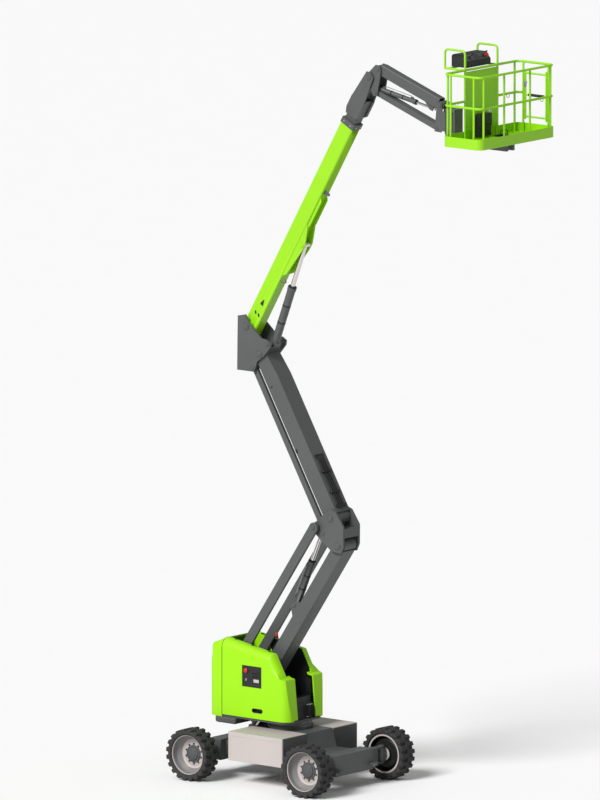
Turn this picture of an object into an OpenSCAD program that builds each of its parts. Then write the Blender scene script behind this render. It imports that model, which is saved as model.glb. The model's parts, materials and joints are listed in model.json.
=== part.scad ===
// Articulating boom lift with lug tyres, twin riser linkage, telescopic boom, jib and work platform.
// Millimetres. +X is the steered end and the platform side, +Y the left side, +Z up.
// The origin is on the ground under the slewing axis.

/* [Wheels] */
// Distance between the front and rear wheel axes
wheelbase = 2250; // [2100:10:2400]
// Distance between the middles of the left and right tyres
track = 1960; // [1900:10:2060]
// Tyre diameter over the lugs
tyre_d = 800; // [760:5:840]
// Tyre width
tyre_w = 300; // [260:5:320]
// Rim diameter at the tyre seat
rim_d = 610; // [560:5:640]
// Height of the tread lugs
lug_h = 26; // [15:1:35]
// Lugs round each half of the tread
lug_count = 20; // [14:1:28]
// Diameter of the wheel spindles
spindle_d = 70; // [50:1:90]

/* [Chassis] */
// Width of the centre frame between the battery boxes
frame_w = 640; // [560:10:680]
// Underside of the centre frame above the ground
frame_bottom = 300; // [295:5:330]
// Top of the centre frame
frame_top = 815; // [790:5:830]
// Length of each battery box
box_len = 1060; // [900:10:1090]
// Middle of the battery boxes along the machine
box_mid_x = 45; // [-20:5:50]
// Outer face of the battery boxes from the centre plane
box_out_y = 910; // [860:5:930]
// Underside of the battery boxes
box_bottom = 370; // [330:5:420]
// Half width of the axle beams
beam_half_w = 450; // [400:10:480]
// Thickness of the axle beams along the machine
beam_len = 250; // [200:10:260]
// Underside of the front axle beam
beam_bottom = 240; // [230:5:280]
// Top of the front axle beam
beam_top = 560; // [520:5:600]
// Kingpin distance from the centre plane
kingpin_y = 800; // [780:5:810]
// Kingpin diameter
kingpin_d = 50; // [40:1:60]
// Length of the steering arms
steer_arm = 185; // [180:1:200]
// Hole of the tie-down lugs
lug_hole = 60; // [40:1:70]

/* [Turret] */
// Outer radius of the slewing ring
slew_r = 340; // [300:5:380]
// Underside of the turret base plate
base_z = 930; // [915:5:950]
// Thickness of the turret base plate
base_t = 30; // [20:1:40]
// Outer face of the covers from the centre plane
cover_y = 480; // [460:5:520]
// Inner edge of the hoods from the centre plane
hood_in_y = 303; // [300:1:312]
// Thickness of the moulded covers
cover_t = 22; // [14:1:30]
// Rear face of the tail cover
tail_x = -1220; // [-1260:5:-1200]
// Front face of the hoods
hood_front_x = 330; // [300:5:360]
// Peak of the covers above the ground
cover_top = 2140; // [2100:5:2160]

/* [Riser linkage] */
// Pivot to pivot length of both risers
riser_len = 2750; // [2650:10:2850]
// Lean of the lower riser above the horizontal
lower_angle = 56; // [54:1:58]
// Lean of the upper riser, measured from +X
upper_angle = 120; // [118:1:122]
// Depth of the lower riser box
lower_h = 214; // [190:2:224]
// Width of the lower riser box
lower_w = 280; // [240:2:300]
// Depth of the upper riser box
upper_h = 264; // [220:2:264]
// Width of the upper riser box
upper_w = 326; // [290:2:328]
// Wall of the riser boxes
riser_wall = 10; // [6:1:14]
// Depth of the lower link bars
lower_link_h = 150; // [110:2:160]
// Depth of the upper link bars
upper_link_h = 90; // [70:2:94]
// Thickness of the knuckle and mast plates
plate_t = 35; // [20:1:36]
// Diameter of the riser pins
riser_pin_d = 80; // [60:1:90]
// Diameter of the link and cylinder pins
link_pin_d = 50; // [40:1:56]

/* [Main boom] */
// Angle of the boom above the horizontal
boom_angle = 60; // [58:1:62]
// Depth of the outer boom box
boom_h = 255; // [240:1:260]
// Width of the outer boom box
boom_w = 200; // [190:1:210]
// Wall of the boom boxes
boom_wall = 8; // [6:1:10]
// Boom length from its pivot to the mouth
boom_len = 3745; // [3600:10:3900]
// Length of the fly boom from the mouth to the jib pivot
fly_reach = 900; // [860:10:960]
// Travel of the fly boom
fly_travel = 2800; // [2400:20:2800]

/* [Jib] */
// Angle of the jib above the horizontal
jib_angle = -20; // [-22:1:-18]
// Pivot to pivot length of the jib
jib_len = 1270; // [1250:5:1320]
// Depth of the jib arm
jib_h = 170; // [150:2:172]
// Width of the jib arm
jib_w = 140; // [130:1:142]
// Depth of the lower jib bars
jib_bar_h = 84; // [70:2:86]

/* [Platform] */
// Length of the platform across the machine
deck_len = 1830; // [1700:10:1900]
// Depth of the platform along the machine
deck_depth = 740; // [700:10:800]
// Height of the top rail above the platform underside
rail_h = 1110; // [1050:10:1150]
// Height of the mid rail above the platform underside
mid_h = 620; // [560:10:660]
// Height of the toe board
toe_h = 160; // [120:5:180]
// Diameter of the guard rails
rail_d = 38; // [32:1:42]
// Corner radius of the platform
deck_r = 110; // [80:5:130]

/* [Hidden] */
$fn = 64;

lime = [0.62, 0.94, 0.14];
dark_grey = [0.36, 0.37, 0.37];
pale_grey = [0.84, 0.80, 0.79];
black_paint = [0.10, 0.10, 0.11];
tyre_black = [0.18, 0.18, 0.18];
bright_steel = [0.82, 0.82, 0.82];
amber_red = [0.85, 0.22, 0.10];

// Running clearance of a pin or rod in its bore, and the side gap between moving plates
fit = 0.4;
side_gap = 5;
face_gap = 0.5;

// Wheel places
wheel_x = wheelbase / 2;
wheel_y = track / 2;
wheel_z = tyre_d / 2;
rim_r = rim_d / 2 - 0.3;
hub_r = 105;
hub_in = -110;
hub_out = -5;
dish_z = -45;

// Ridge, brow and seam of the covers
ridge_x = -940;
brow_x = -20;
brow_drop = 165;
ledge_x = 175;
ledge_z = 1625;
nose_x = hood_front_x - 65;
lip_y = 218;
seam_x = -955;
seam_gap = 6;

// Turret and linkage pivots in the X-Z plane
plate_in = upper_w / 2 + side_gap + 2;
plate_out = plate_in + plate_t;
link_in = plate_out + 30;
link_t = 50;
link_out = link_in + link_t;
riser_foot = [-458, 1460];
link_step = [-410, 250];
knuckle_step = [-150, 410];
upper_link_step = [-140, -240];
boom_step = [-258, 398];
lift_base_step = [150, 160];
riser_head = riser_foot + riser_len * [cos(lower_angle), sin(lower_angle)];
link_foot = riser_foot + link_step;
link_head = riser_head + link_step;
upper_foot = riser_head + knuckle_step;
upper_head = upper_foot + riser_len * [cos(upper_angle), sin(upper_angle)];
upper_link_foot = upper_foot + upper_link_step;
upper_link_head = upper_head + upper_link_step;
boom_pivot = upper_head + boom_step;
lift_base = upper_head + lift_base_step;
bar_boss = 4;
upper_link_in = 95;
upper_link_out = 145;
riser_end_r = 95;
upper_end_r = 92;
taper_len = 420;

// Riser cylinder: its base lug stands off the rear face of the lower riser
riser_lug_s = 1365;
riser_lug_off = -212;
riser_lug = arm_point(riser_foot, lower_angle, riser_lug_s, riser_lug_off);
riser_barrel_len = 760;
riser_barrel_r = 55;
riser_rod_r = 32;
eye_half = 40;
cheek_t = 25;
gland_lip = 6;

// Lift cylinder: its rod pin hangs under the boom
lift_lug_s = 1650;
lift_lug_off = 200;
lift_lug = arm_point(boom_pivot, boom_angle, lift_lug_s, lift_lug_off);
lift_barrel_len = 950;
lift_barrel_r = 63;
lift_rod_r = 36;
lift_rod_len = 960;
riser_rod_len = 800;

// Fly boom and jib pivots
fly_gap = 12;
fly_h = boom_h - 2 * boom_wall - 2 * fly_gap;
fly_w = boom_w - 2 * boom_wall - 2 * fly_gap;
fly_tail = boom_len - fly_travel - 700;
boom_mouth = arm_point(boom_pivot, boom_angle, boom_len, 0);
level_pivot = arm_point(boom_pivot, boom_angle, boom_len + fly_reach, 0);
jib_root = level_pivot + [150, 135];
jib_bar_step = [-50, -360];
jib_tip = jib_root + jib_len * [cos(jib_angle), sin(jib_angle)];
jib_bar_root = jib_root + jib_bar_step;
jib_bar_tip = jib_tip + jib_bar_step;
jib_base = jib_root + [-80, -298];
jib_lug_s = jib_len - 160;
jib_lug_off = 138;
jib_lug = arm_point(jib_root, jib_angle, jib_lug_s, jib_lug_off);
jib_barrel_len = 0.6 * jib_len;
jib_barrel_r = 36;
jib_rod_r = 21;
jib_rod_len = 0.63 * jib_len;
jib_pin_d = 40;
jib_base_pin_d = 32;
jib_lug_pin_d = 26;
jib_eye_half = jib_barrel_r;
jib_bar_in = 45;
jib_bar_t = 23;
jib_plate_in = jib_w / 2 + 8;
jib_plate_t = 22;
jib_plate_out = jib_plate_in + jib_plate_t;
head_plate_in = jib_plate_out + side_gap;
head_plate_t = 26;

// Platform
rotor_x = jib_tip[0] + 150;
rotor_r = 100;
rotor_pin_r = 40;
deck_z = jib_bar_tip[1] - 95;
deck_rear_x = rotor_x + 545;
deck_front_x = deck_rear_x + deck_depth;
rail_r = rail_d / 2;
toe_t = 8;
post_d = rail_d - 5;
rail_in = toe_t + rail_r + 0.4;
deck_t = 30;
tread_t = 4;
tread_margin = 60;
panel_half = 390;
hoop_back = 385;
hoop_up = 290;
gate_gap = 12;

// A point on a member that starts at p and leans by a: s along it, off to its lower side
function arm_point(p, a, s, off) = p + s * [cos(a), sin(a)] + off * [sin(a), -cos(a)];
// Direction in degrees and distance between two points
function lean(p, q) = atan2(q[1] - p[1], q[0] - p[0]);
function span(p, q) = norm(q - p);

// Frame of a member: local z runs along it and local x points to its lower side
module along(p, a) {
  translate([p[0], 0, p[1]]) rotate([0, 90 - a, 0]) children();
}

// Round bar across the machine at a point of the X-Z plane
module cross_bar(p, r, y0, y1) {
  translate([p[0], y0, p[1]]) rotate([-90, 0, 0]) cylinder(r = r, h = y1 - y0);
}

// Upright plate cut to an outline in the X-Z plane
module side_plate(outline, y0, y1) {
  translate([0, y1, 0]) rotate([90, 0, 0]) linear_extrude(y1 - y0) polygon(outline);
}

// Rectangle with round corners about the origin
module round_rect(a, b, r) {
  square([a - 2 * r, b], center = true);
  square([a, b - 2 * r], center = true);
  for (sx = [-1, 1], sy = [-1, 1])
    translate([sx * (a / 2 - r), sy * (b / 2 - r)]) circle(r = r);
}

// Hollow box section along local z
module box_tube(depth, width, r, wall, z0, z1) {
  translate([0, 0, z0]) linear_extrude(z1 - z0) difference() {
    round_rect(depth, width, r);
    round_rect(depth - 2 * wall, width - 2 * wall, r / 2);
  }
}

// Extrudes an outline across the machine: its x runs along a member that starts at p and leans by a
module across(p, a, y0, y1) {
  translate([p[0], y1, p[1]]) rotate([90, 0, 0]) linear_extrude(y1 - y0) rotate(a) children();
}

// Flat bar between two pivots with round ends and pin holes
module pivot_bar(p, q, depth, y0, y1, hole_r) {
  len = span(p, q);
  across(p, lean(p, q), y0, y1) difference() {
    union() {
      translate([0, -depth / 2]) square([len, depth]);
      for (x = [0, len]) translate([x, 0]) circle(r = depth / 2 + bar_boss);
    }
    for (x = [0, len]) translate([x, 0]) circle(r = hole_r);
  }
}

// Hollow of a welded box member, with a drain slot through its underside near the foot
module box_hollow(p, a, from, to, depth, width, wall) {
  slot = 60;
  along(p, a) {
    translate([-depth / 2 + wall, -width / 2 + wall, from]) cube([depth - 2 * wall, width - 2 * wall, to - from]);
    translate([0, -slot / 2, from + 40]) cube([depth, slot, 2 * slot]);
  }
}

// Cylinder barrel with a base eye at p, open at its gland end; a pin radius of 0 leaves the eye unbored
module barrel(p, a, len, r, rod_r, eye_r, pin_r, half) {
  start = eye_r * 0.65;
  gland = 50;
  difference() {
    union() {
      cross_bar(p, eye_r, -half, half);
      along(p, a) translate([0, 0, start]) cylinder(r = r, h = len - start);
      along(p, a) translate([0, 0, len - gland]) cylinder(r = r + gland_lip, h = gland);
    }
    if (pin_r > 0) cross_bar(p, pin_r + fit, -r - eye_r, r + eye_r);
    along(p, a) translate([0, 0, eye_r + 18]) cylinder(r = rod_r + fit, h = len);
  }
}

// Piston rod that ends in an eye at q; a pin radius of 0 leaves the eye unbored
module piston_rod(q, a, len, r, eye_r, pin_r, half) {
  difference() {
    union() {
      along(q, a) translate([0, 0, -len]) cylinder(r = r, h = len);
      cross_bar(q, eye_r, -half, half);
    }
    if (pin_r > 0) cross_bar(q, pin_r + fit, -half - eye_r, half + eye_r);
  }
}

// Places a wheel piece: local z points outwards on side s
module at_wheel(x, s) {
  translate([x, s * wheel_y, wheel_z]) rotate([-90 * s, 0, 0]) children();
}

// Ring of tread lugs as one toothed outline, turned by a share of the pitch
module lug_ring(turn) {
  pitch = 360 / lug_count;
  root_r = tyre_d / 2 - lug_h - 8;
  tip_r = tyre_d / 2;
  polygon([for (i = [0 : lug_count - 1], k = [[-0.34, root_r], [-0.24, tip_r], [0, tip_r], [0.24, tip_r], [0.34, root_r]])
    k[1] * [cos(90 + (i + turn + k[0]) * pitch), sin(90 + (i + turn + k[0]) * pitch)]]);
}

// Rough-terrain tyre: a round carcass with two staggered rows of lugs
module tyre_body() {
  half = tyre_w / 2;
  base_r = tyre_d / 2 - lug_h;
  seat_r = rim_d / 2;
  color(tyre_black) {
    rotate_extrude() polygon([
      [seat_r, -half + 30], [seat_r + 12, -half + 12], [base_r - 30, -half + 4], [base_r, -half + 22],
      [base_r, half - 22], [base_r - 30, half - 4], [seat_r + 12, half - 12], [seat_r, half - 30]
    ]);
    translate([0, 0, -half]) linear_extrude(half + 20) lug_ring(0);
    translate([0, 0, -20]) linear_extrude(half + 20) lug_ring(0.5);
  }
}

// Lug tyre with the middle of both lug rows cleared for the rim
module tyre(x, s) {
  at_wheel(x, s) difference() {
    tyre_body();
    translate([0, 0, -tyre_w]) cylinder(r = rim_d / 2, h = 2 * tyre_w);
  }
}

// Dished steel rim with a hub that runs on the spindle
module rim(x, s) {
  half = tyre_w / 2 - 32;
  well = 14;
  color(pale_grey) at_wheel(x, s) rotate_extrude() polygon([
    [spindle_d / 2 + fit, hub_in], [hub_r, hub_in], [hub_r, dish_z - 20], [rim_r - 90, dish_z - 20],
    [rim_r - well - 16, -10], [rim_r - well - 16, -half], [rim_r, -half], [rim_r, half],
    [rim_r - well, half], [rim_r - well, 24], [rim_r - 90, dish_z], [hub_r, dish_z],
    [hub_r, hub_out], [hub_r - 12, hub_out + 12], [0, hub_out + 12], [0, hub_out - 12],
    [spindle_d / 2 + fit, hub_out - 12]
  ]);
}

// Welded centre frame with sloped ends up to the slewing seat, and the end plates of the battery boxes
module chassis_frame() {
  end_x = wheel_x - beam_len / 2;
  end_t = 8;
  end_low = box_bottom + 8;
  color(dark_grey) {
    side_plate([
      [-end_x, frame_bottom], [end_x, frame_bottom], [end_x, beam_top - 20], [650, beam_top - 20],
      [560, frame_top], [-470, frame_top], [-580, beam_top - 20], [-end_x, beam_top - 20]
    ], -frame_w / 2, frame_w / 2);
    for (x0 = [box_mid_x + box_len / 2 + 0.3, box_mid_x - box_len / 2 - 0.3 - end_t], s = [-1, 1])
      translate([x0, min(s * (frame_w / 2 - 10), s * (box_out_y - 18)), end_low])
        cube([end_t, box_out_y - frame_w / 2 - 8, frame_top - 8 - end_low]);
  }
}

// Flat tie-down lug with an upright round hole
module tie_down(x, y, z, toward) {
  reach = 62;
  lug_r = 55;
  lug_t = 40;
  translate([x, y, z - lug_t / 2]) difference() {
    union() {
      translate([toward * reach, 0, 0]) cylinder(r = lug_r, h = lug_t);
      translate([min(0, toward * reach), -lug_r, 0]) cube([reach, 2 * lug_r, lug_t]);
    }
    translate([toward * reach, 0, -1]) cylinder(d = lug_hole, h = lug_t + 2);
  }
}

// Steered axle: beam, arms, kingpin forks, kingpins and two tie-down lugs
module front_axle() {
  ear_t = 35;
  ear_gap = 190;
  fork_len = 170;
  color(dark_grey) {
    translate([wheel_x - beam_len / 2, -beam_half_w, beam_bottom])
      cube([beam_len, 2 * beam_half_w, beam_top - beam_bottom]);
    for (s = [-1, 1]) {
      arm_end = kingpin_y - fork_len + 10;
      translate([wheel_x - 70, min(s * beam_half_w, s * arm_end), wheel_z - ear_gap / 2 - ear_t])
        cube([140, arm_end - beam_half_w, ear_gap + 2 * ear_t]);
      for (z = [wheel_z - ear_gap / 2 - ear_t, wheel_z + ear_gap / 2])
        translate([wheel_x, s * kingpin_y, z]) {
          cylinder(r = 52, h = ear_t);
          translate([-52, min(0, -s * fork_len), 0]) cube([104, fork_len, ear_t]);
        }
      translate([wheel_x, s * kingpin_y, wheel_z - ear_gap / 2 - ear_t - 10])
        cylinder(d = kingpin_d, h = ear_gap + 2 * ear_t + 20);
      tie_down(wheel_x + beam_len / 2, s * (beam_half_w - 40), beam_bottom + 90, 1);
    }
  }
}

// Drive axle: beam, hub motor tubes, spindles and two tie-down lugs
module rear_axle() {
  flange_in = wheel_y + hub_in - 30;
  color(dark_grey) {
    translate([-wheel_x - beam_len / 2, -beam_half_w, beam_bottom])
      cube([beam_len, 2 * beam_half_w, beam_top - beam_bottom]);
    for (s = [-1, 1]) {
      translate([-wheel_x, 0, wheel_z]) rotate([-90 * s, 0, 0]) {
        translate([0, 0, beam_half_w - 10]) cylinder(r = 85, h = flange_in - beam_half_w);
        translate([0, 0, flange_in - 20]) cylinder(r = 125, h = 20);
        cylinder(d = spindle_d, h = wheel_y + hub_out - 14);
        translate([0, 0, flange_in - 1]) cylinder(r = 60, h = 30);
      }
      tie_down(-wheel_x - beam_len / 2, s * (beam_half_w - 40), beam_bottom + 90, -1);
    }
  }
}

// Steering knuckle: kingpin barrel, spindle and rearward arm
module steer_knuckle(s) {
  half = 94;
  arm_end = [wheel_x - steer_arm, s * (kingpin_y - 40)];
  color(dark_grey) difference() {
    union() {
      translate([wheel_x, s * kingpin_y, wheel_z - half]) cylinder(r = 56, h = 2 * half);
      translate([wheel_x, s * kingpin_y, wheel_z]) rotate([-90 * s, 0, 0])
        cylinder(d = spindle_d, h = wheel_y - kingpin_y + hub_out - 14);
      translate([wheel_x, s * kingpin_y, wheel_z]) rotate([-90 * s, 0, 0])
        cylinder(r = 62, h = wheel_y - kingpin_y + hub_in - 0.4);
      translate([arm_end[0], arm_end[1] - 30, wheel_z - half]) cube([steer_arm, 60, 30]);
      translate([arm_end[0], arm_end[1], wheel_z - half]) cylinder(r = 32, h = 30);
    }
    translate([wheel_x, s * kingpin_y, 0]) cylinder(d = kingpin_d + 2 * fit, h = tyre_d);
  }
}

// Track rod under the frame that ties the two steering arms together
module tie_rod() {
  top = wheel_z - 94 - face_gap;
  rod_z = frame_bottom - 32;
  reach = kingpin_y - 40;
  color(bright_steel) {
    translate([wheel_x - steer_arm, -reach, rod_z]) rotate([-90, 0, 0]) cylinder(r = 20, h = 2 * reach);
    for (s = [-1, 1])
      translate([wheel_x - steer_arm, s * reach, rod_z - 26]) cylinder(r = 28, h = top - rod_z + 26);
  }
}

// Battery box: a folded steel cover with a shallow pressed panel on its side
module battery_box(s) {
  top = frame_top - face_gap;
  y_in = frame_w / 2 + 0.3;
  depth = box_out_y - y_in;
  border = 60;
  color(pale_grey) translate([box_mid_x, s * (y_in + depth / 2), 0]) difference() {
    translate([0, 0, box_bottom]) linear_extrude(top - box_bottom) round_rect(box_len, depth, 18);
    translate([-box_len / 2 + border, s * (depth / 2) - 4, box_bottom + border])
      cube([box_len - 2 * border, 8, top - box_bottom - 2 * border]);
  }
}

// Lower ring of the slewing bearing
module slew_ring() {
  color(dark_grey) translate([0, 0, frame_top]) difference() {
    cylinder(r = slew_r, h = 60);
    translate([0, 0, -1]) cylinder(r = slew_r - 120, h = 62);
  }
}

// Outline of the mast plates that carry the riser and link feet
function mast_outline() = [
  [-1040, base_z + base_t], [-60, base_z + base_t], [-160, 1300], riser_foot + [120, 40],
  riser_foot + [30, 130], link_foot + [70, 90], link_foot + [-40, 100], link_foot + [-100, 10], [-1040, 1350]
];

// Turret base plate, upper bearing ring, mast plates and foot pins
module turret_frame() {
  color(dark_grey) {
    translate([0, 0, base_z]) linear_extrude(base_t) cover_plan(-cover_t - fit);
    translate([0, 0, frame_top + 60 + face_gap])
      cylinder(r = slew_r - 12, h = base_z - frame_top - 60 - face_gap + 1);
    for (s = [-1, 1]) {
      y0 = s > 0 ? plate_in : -plate_out;
      side_plate(mast_outline(), y0, y0 + plate_t);
      y1 = s > 0 ? plate_out - 1 : -link_out - 8;
      cross_bar(link_foot, link_pin_d / 2, y1, y1 + link_out - plate_out + 9);
      y2 = s > 0 ? plate_out - 1 : -link_in + side_gap;
      cross_bar(link_foot, link_pin_d / 2 + 22, y2, y2 + link_in - plate_out - side_gap + 1);
    }
    cross_bar(riser_foot, riser_pin_d / 2, -plate_out - 12, plate_out + 12);
    translate([-1020, -plate_in - 1, base_z + base_t]) cube([40, 2 * plate_in + 2, 380]);
  }
}

// Height of the cover outline: rear edge, sloped back, long top, steep brow, ledge and leaning nose
function cover_outline(grow) = [
  [tail_x - grow, base_z], [tail_x - grow, cover_top - 180], [tail_x + 40, cover_top - 100 + grow],
  [ridge_x, cover_top + grow], [brow_x + 0.64 * grow, cover_top - brow_drop + 0.9 * grow],
  [ledge_x + 0.64 * grow, ledge_z + 0.9 * grow], [nose_x + 0.92 * grow, ledge_z - 17 + 0.84 * grow],
  [hood_front_x + grow, base_z]
];

// Plan of the covers: rounded at the tail and at the front corners
module cover_plan(grow) {
  nose_r = 170;
  tail_r = 130;
  x0 = tail_x - grow;
  x1 = hood_front_x + grow;
  half = cover_y + grow;
  translate([x0 + tail_r, -half]) square([x1 - x0 - tail_r - nose_r, 2 * half]);
  translate([x0, -half + tail_r]) square([x1 - x0, 2 * half - 2 * tail_r]);
  translate([x1 - nose_r - 1, -half + nose_r]) square([nose_r + 1, 2 * half - 2 * nose_r]);
  for (s = [-1, 1]) {
    translate([x0 + tail_r, s * (half - tail_r)]) circle(r = tail_r);
    intersection() {
      translate([x1 - nose_r, s * (half - nose_r)]) circle(r = nose_r);
      translate([x1 - nose_r, min(s * half, s * (half - nose_r))]) square(nose_r);
    }
  }
}

// Solid of the covers, grown or shrunk from the outer faces
module cover_solid(grow) {
  intersection() {
    side_plate(cover_outline(grow), -cover_y - grow, cover_y + grow);
    translate([0, 0, 500]) linear_extrude(2000) cover_plan(grow);
  }
}

// Fixed tail cover behind the seam
module tail_cover() {
  color(lime) difference() {
    cover_solid(0);
    cover_solid(-cover_t);
    translate([seam_x, -cover_y - 100, 0]) cube([3000, 2 * cover_y + 200, 4000]);
  }
}

// Side hood: outer wall, top and round nose, open to the inside and below; the nose turns in at its lip
module hood(s) {
  lip_top = ledge_z + 15;
  lip_low = base_z + base_t + 20;
  color(lime) difference() {
    cover_solid(0);
    cover_solid(-cover_t);
    translate([tail_x - 100, -cover_y - 100, 0])
      cube([seam_x + seam_gap - tail_x + 100, 2 * cover_y + 200, 4000]);
    translate([tail_x - 100, s > 0 ? -cover_y - 100 : -lip_y, 0])
      cube([3000, cover_y + 100 + lip_y, 4000]);
    for (z = [lip_top, lip_low - 2000])
      translate([tail_x - 100, s > 0 ? 0 : -hood_in_y, z]) cube([3000, hood_in_y, 2000]);
    translate([tail_x - 100, -cover_y - 100, 0]) cube([3000, 2 * cover_y + 200, base_z + base_t + 5]);
  }
}
module hood_left() hood(1);

// Right hood with the cut-out for the ground control panel and a hand slot
panel_x = -560;
panel_z = 1440;
panel_w = 380;
panel_tall = 330;
module hood_right() {
  color(lime) difference() {
    hood(-1);
    translate([panel_x, -cover_y - 50, panel_z]) cube([panel_w, 120, panel_tall]);
    for (x = [-330, -190]) cross_bar([x, 1090], 28, -cover_y - 50, -cover_y + 60);
    translate([-330, -cover_y - 50, 1062]) cube([140, 110, 56]);
  }
}

// Recessed ground control panel with an emergency stop and a key switch
module ground_controls() {
  face_y = -cover_y + 16;
  color(black_paint) {
    translate([panel_x + 0.4, face_y, panel_z + 0.4]) cube([panel_w - 0.8, 40, panel_tall - 0.8]);
    translate([panel_x + 190, face_y - 8, panel_z + 70]) cube([130, 9, 180]);
  }
  color(amber_red) cross_bar([panel_x + 75, panel_z + 250], 32, face_y - 24, face_y + 1);
  color(bright_steel) cross_bar([panel_x + 75, panel_z + 110], 16, face_y - 10, face_y + 1);
}

// Black screens that line the slot between the hoods; they step in behind the lips, over a step ledge
module inner_panels() {
  screen_t = 8;
  low = base_z + base_t;
  in_y = hood_in_y - fit - screen_t;
  lip_in = lip_y - 1 - screen_t;
  wall_x = ledge_x - 35;
  wall_top = ledge_z - 65;
  front_x = hood_front_x - 75;
  color(black_paint) for (s = [-1, 1]) {
    y0 = s > 0 ? in_y : -in_y - screen_t;
    difference() {
      side_plate(cover_outline(-8), y0, y0 + screen_t);
      translate([tail_x - 1, y0 - 1, 0]) cube([seam_x + 12 - tail_x, screen_t + 2, 4000]);
      translate([tail_x - 1, y0 - 1, 0]) cube([3000, screen_t + 2, low]);
      translate([wall_x - 4, y0 - 1, 0]) cube([1000, screen_t + 2, ledge_z + 40]);
      translate([wall_x - 45, y0 - 1, wall_top]) cube([1000, screen_t + 2, ledge_z + 60 - wall_top]);
    }
    y1 = s > 0 ? lip_in : -in_y - screen_t;
    translate([wall_x - screen_t, y1, low]) cube([screen_t, in_y + screen_t - lip_in, wall_top - low]);
    y2 = s > 0 ? lip_in : -lip_in - screen_t;
    translate([wall_x - screen_t, y2, low]) cube([front_x - wall_x - 20, screen_t, wall_top - low]);
  }
  color(black_paint) translate([10, -lip_in - 1, low]) cube([front_x - 10, 2 * lip_in + 2, 250]);
  color(black_paint) translate([110, -lip_in - 1, low + 249]) cube([front_x - 125, 2 * lip_in + 2, 90]);
}

// Hydraulic tank and battery charger that stand under the hoods
module turret_equipment() {
  low = base_z + base_t;
  y0 = hood_in_y + 2;
  depth = cover_y - cover_t - 20 - y0;
  color(black_paint) translate([-760, y0, low]) cube([620, depth, 520]);
  color(black_paint) translate([-20, y0, low]) cube([240, depth - 60, 330]);
  color(black_paint) translate([-760, -y0 - depth, low]) cube([520, depth, 380]);
}

// Cast counterweight under the tail with round rear corners
module counterweight() {
  corner_r = 110;
  x0 = tail_x + 110;
  half_y = cover_y - 80;
  low = frame_top + 22;
  color(dark_grey) translate([0, 0, low]) linear_extrude(base_z - low) {
    for (s = [-1, 1]) translate([x0 + corner_r, s * half_y]) circle(r = corner_r);
    translate([x0, -half_y]) square([corner_r, 2 * half_y]);
    translate([x0 + corner_r, -half_y - corner_r]) square([330, 2 * half_y + 2 * corner_r]);
  }
}

// Warning beacon on a post that stands against the left mast plate
module beacon() {
  post_r = 8;
  post_low = riser_foot[1] - 60;
  lens_z = cover_top - 20;
  color(amber_red) translate([riser_foot[0] + 58, plate_in - post_r - 0.3, 0]) {
    translate([0, 0, post_low]) cylinder(r = post_r, h = lens_z - post_low + 1);
    translate([0, 0, lens_z]) cylinder(r = 30, h = 12);
    translate([0, 0, lens_z + 12]) cylinder(r1 = 27, r2 = 21, h = 68);
  }
}

// Lower riser: welded box with bored ends and the foot lugs of its cylinder
module lower_riser() {
  half = lower_w / 2;
  end_gap = 40;
  lug_y = riser_barrel_r + side_gap;
  color(dark_grey) difference() {
    union() {
      across(riser_foot, lower_angle, -half, half) {
        translate([end_gap, -lower_h / 2]) square([riser_len - 2 * end_gap, lower_h]);
        for (x = [0, riser_len]) translate([x, 0]) circle(r = riser_end_r);
      }
      for (y0 = [lug_y, -lug_y - cheek_t])
        across(riser_foot, lower_angle, y0, y0 + cheek_t) polygon([
          [riser_lug_s - 190, lower_h / 2 - 5], [riser_lug_s - 40, -riser_lug_off + 42],
          [riser_lug_s + 40, -riser_lug_off + 42], [riser_lug_s + 150, lower_h / 2 - 5]
        ]);
      cross_bar(riser_lug, link_pin_d / 2, -lug_y - cheek_t - 8, lug_y + cheek_t + 8);
    }
    for (p = [riser_foot, riser_head]) cross_bar(p, riser_pin_d / 2 + fit, -half - 1, half + 1);
    box_hollow(riser_foot, lower_angle, 130, riser_len - 130, lower_h, lower_w, riser_wall);
  }
}

// Pair of flat lower links outside the mast and knuckle plates
module lower_links() {
  color(dark_grey) for (y0 = [-link_out, link_in])
    pivot_bar(link_foot, link_head, lower_link_h, y0, y0 + link_t, link_pin_d / 2 + fit);
}

// Outline of the mid knuckle plates
function knuckle_outline() = [
  riser_head + [-120, -90], riser_head + [60, -110], riser_head + [110, 0], riser_head + [112, 300],
  upper_foot + [110, 110], upper_foot + [20, 140], upper_foot + [-110, 60], link_head + [0, 90],
  link_head + [-80, 40], link_head + [-80, -60]
];

// Mid knuckle: side plates, front web, centre ribs for the rod eye, and all its pins
module mid_knuckle() {
  rib_low = riser_head[1] + 125;
  rib_high = upper_foot[1] - upper_h / 2 - 12;
  color(dark_grey) {
    for (s = [-1, 1]) {
      y0 = s > 0 ? plate_in : -plate_out;
      side_plate(knuckle_outline(), y0, y0 + plate_t);
      y1 = s > 0 ? plate_out - 1 : -link_out - 12;
      cross_bar(link_head, link_pin_d / 2, y1, y1 + link_out - plate_out + 13);
      y2 = s > 0 ? plate_out - 1 : -link_in + side_gap;
      cross_bar(link_head, link_pin_d / 2 + 22, y2, y2 + link_in - plate_out - side_gap + 1);
      y3 = s > 0 ? eye_half + side_gap : -eye_half - side_gap - cheek_t;
      side_plate([
        link_head + [-50, -40], [riser_head[0] + 95, rib_low], [riser_head[0] + 95, rib_high],
        [link_head[0] + 140, rib_high], link_head + [20, 55], link_head + [-40, 45]
      ], y3, y3 + cheek_t);
    }
    translate([riser_head[0] + 90, -plate_in - 1, rib_low]) cube([22, 2 * plate_in + 2, rib_high - rib_low]);
    for (p = [riser_head, upper_foot]) cross_bar(p, riser_pin_d / 2, -plate_out - 12, plate_out + 12);
    cross_bar(upper_link_foot, link_pin_d / 2, -plate_out - 8, plate_out + 8);
  }
}

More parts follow.
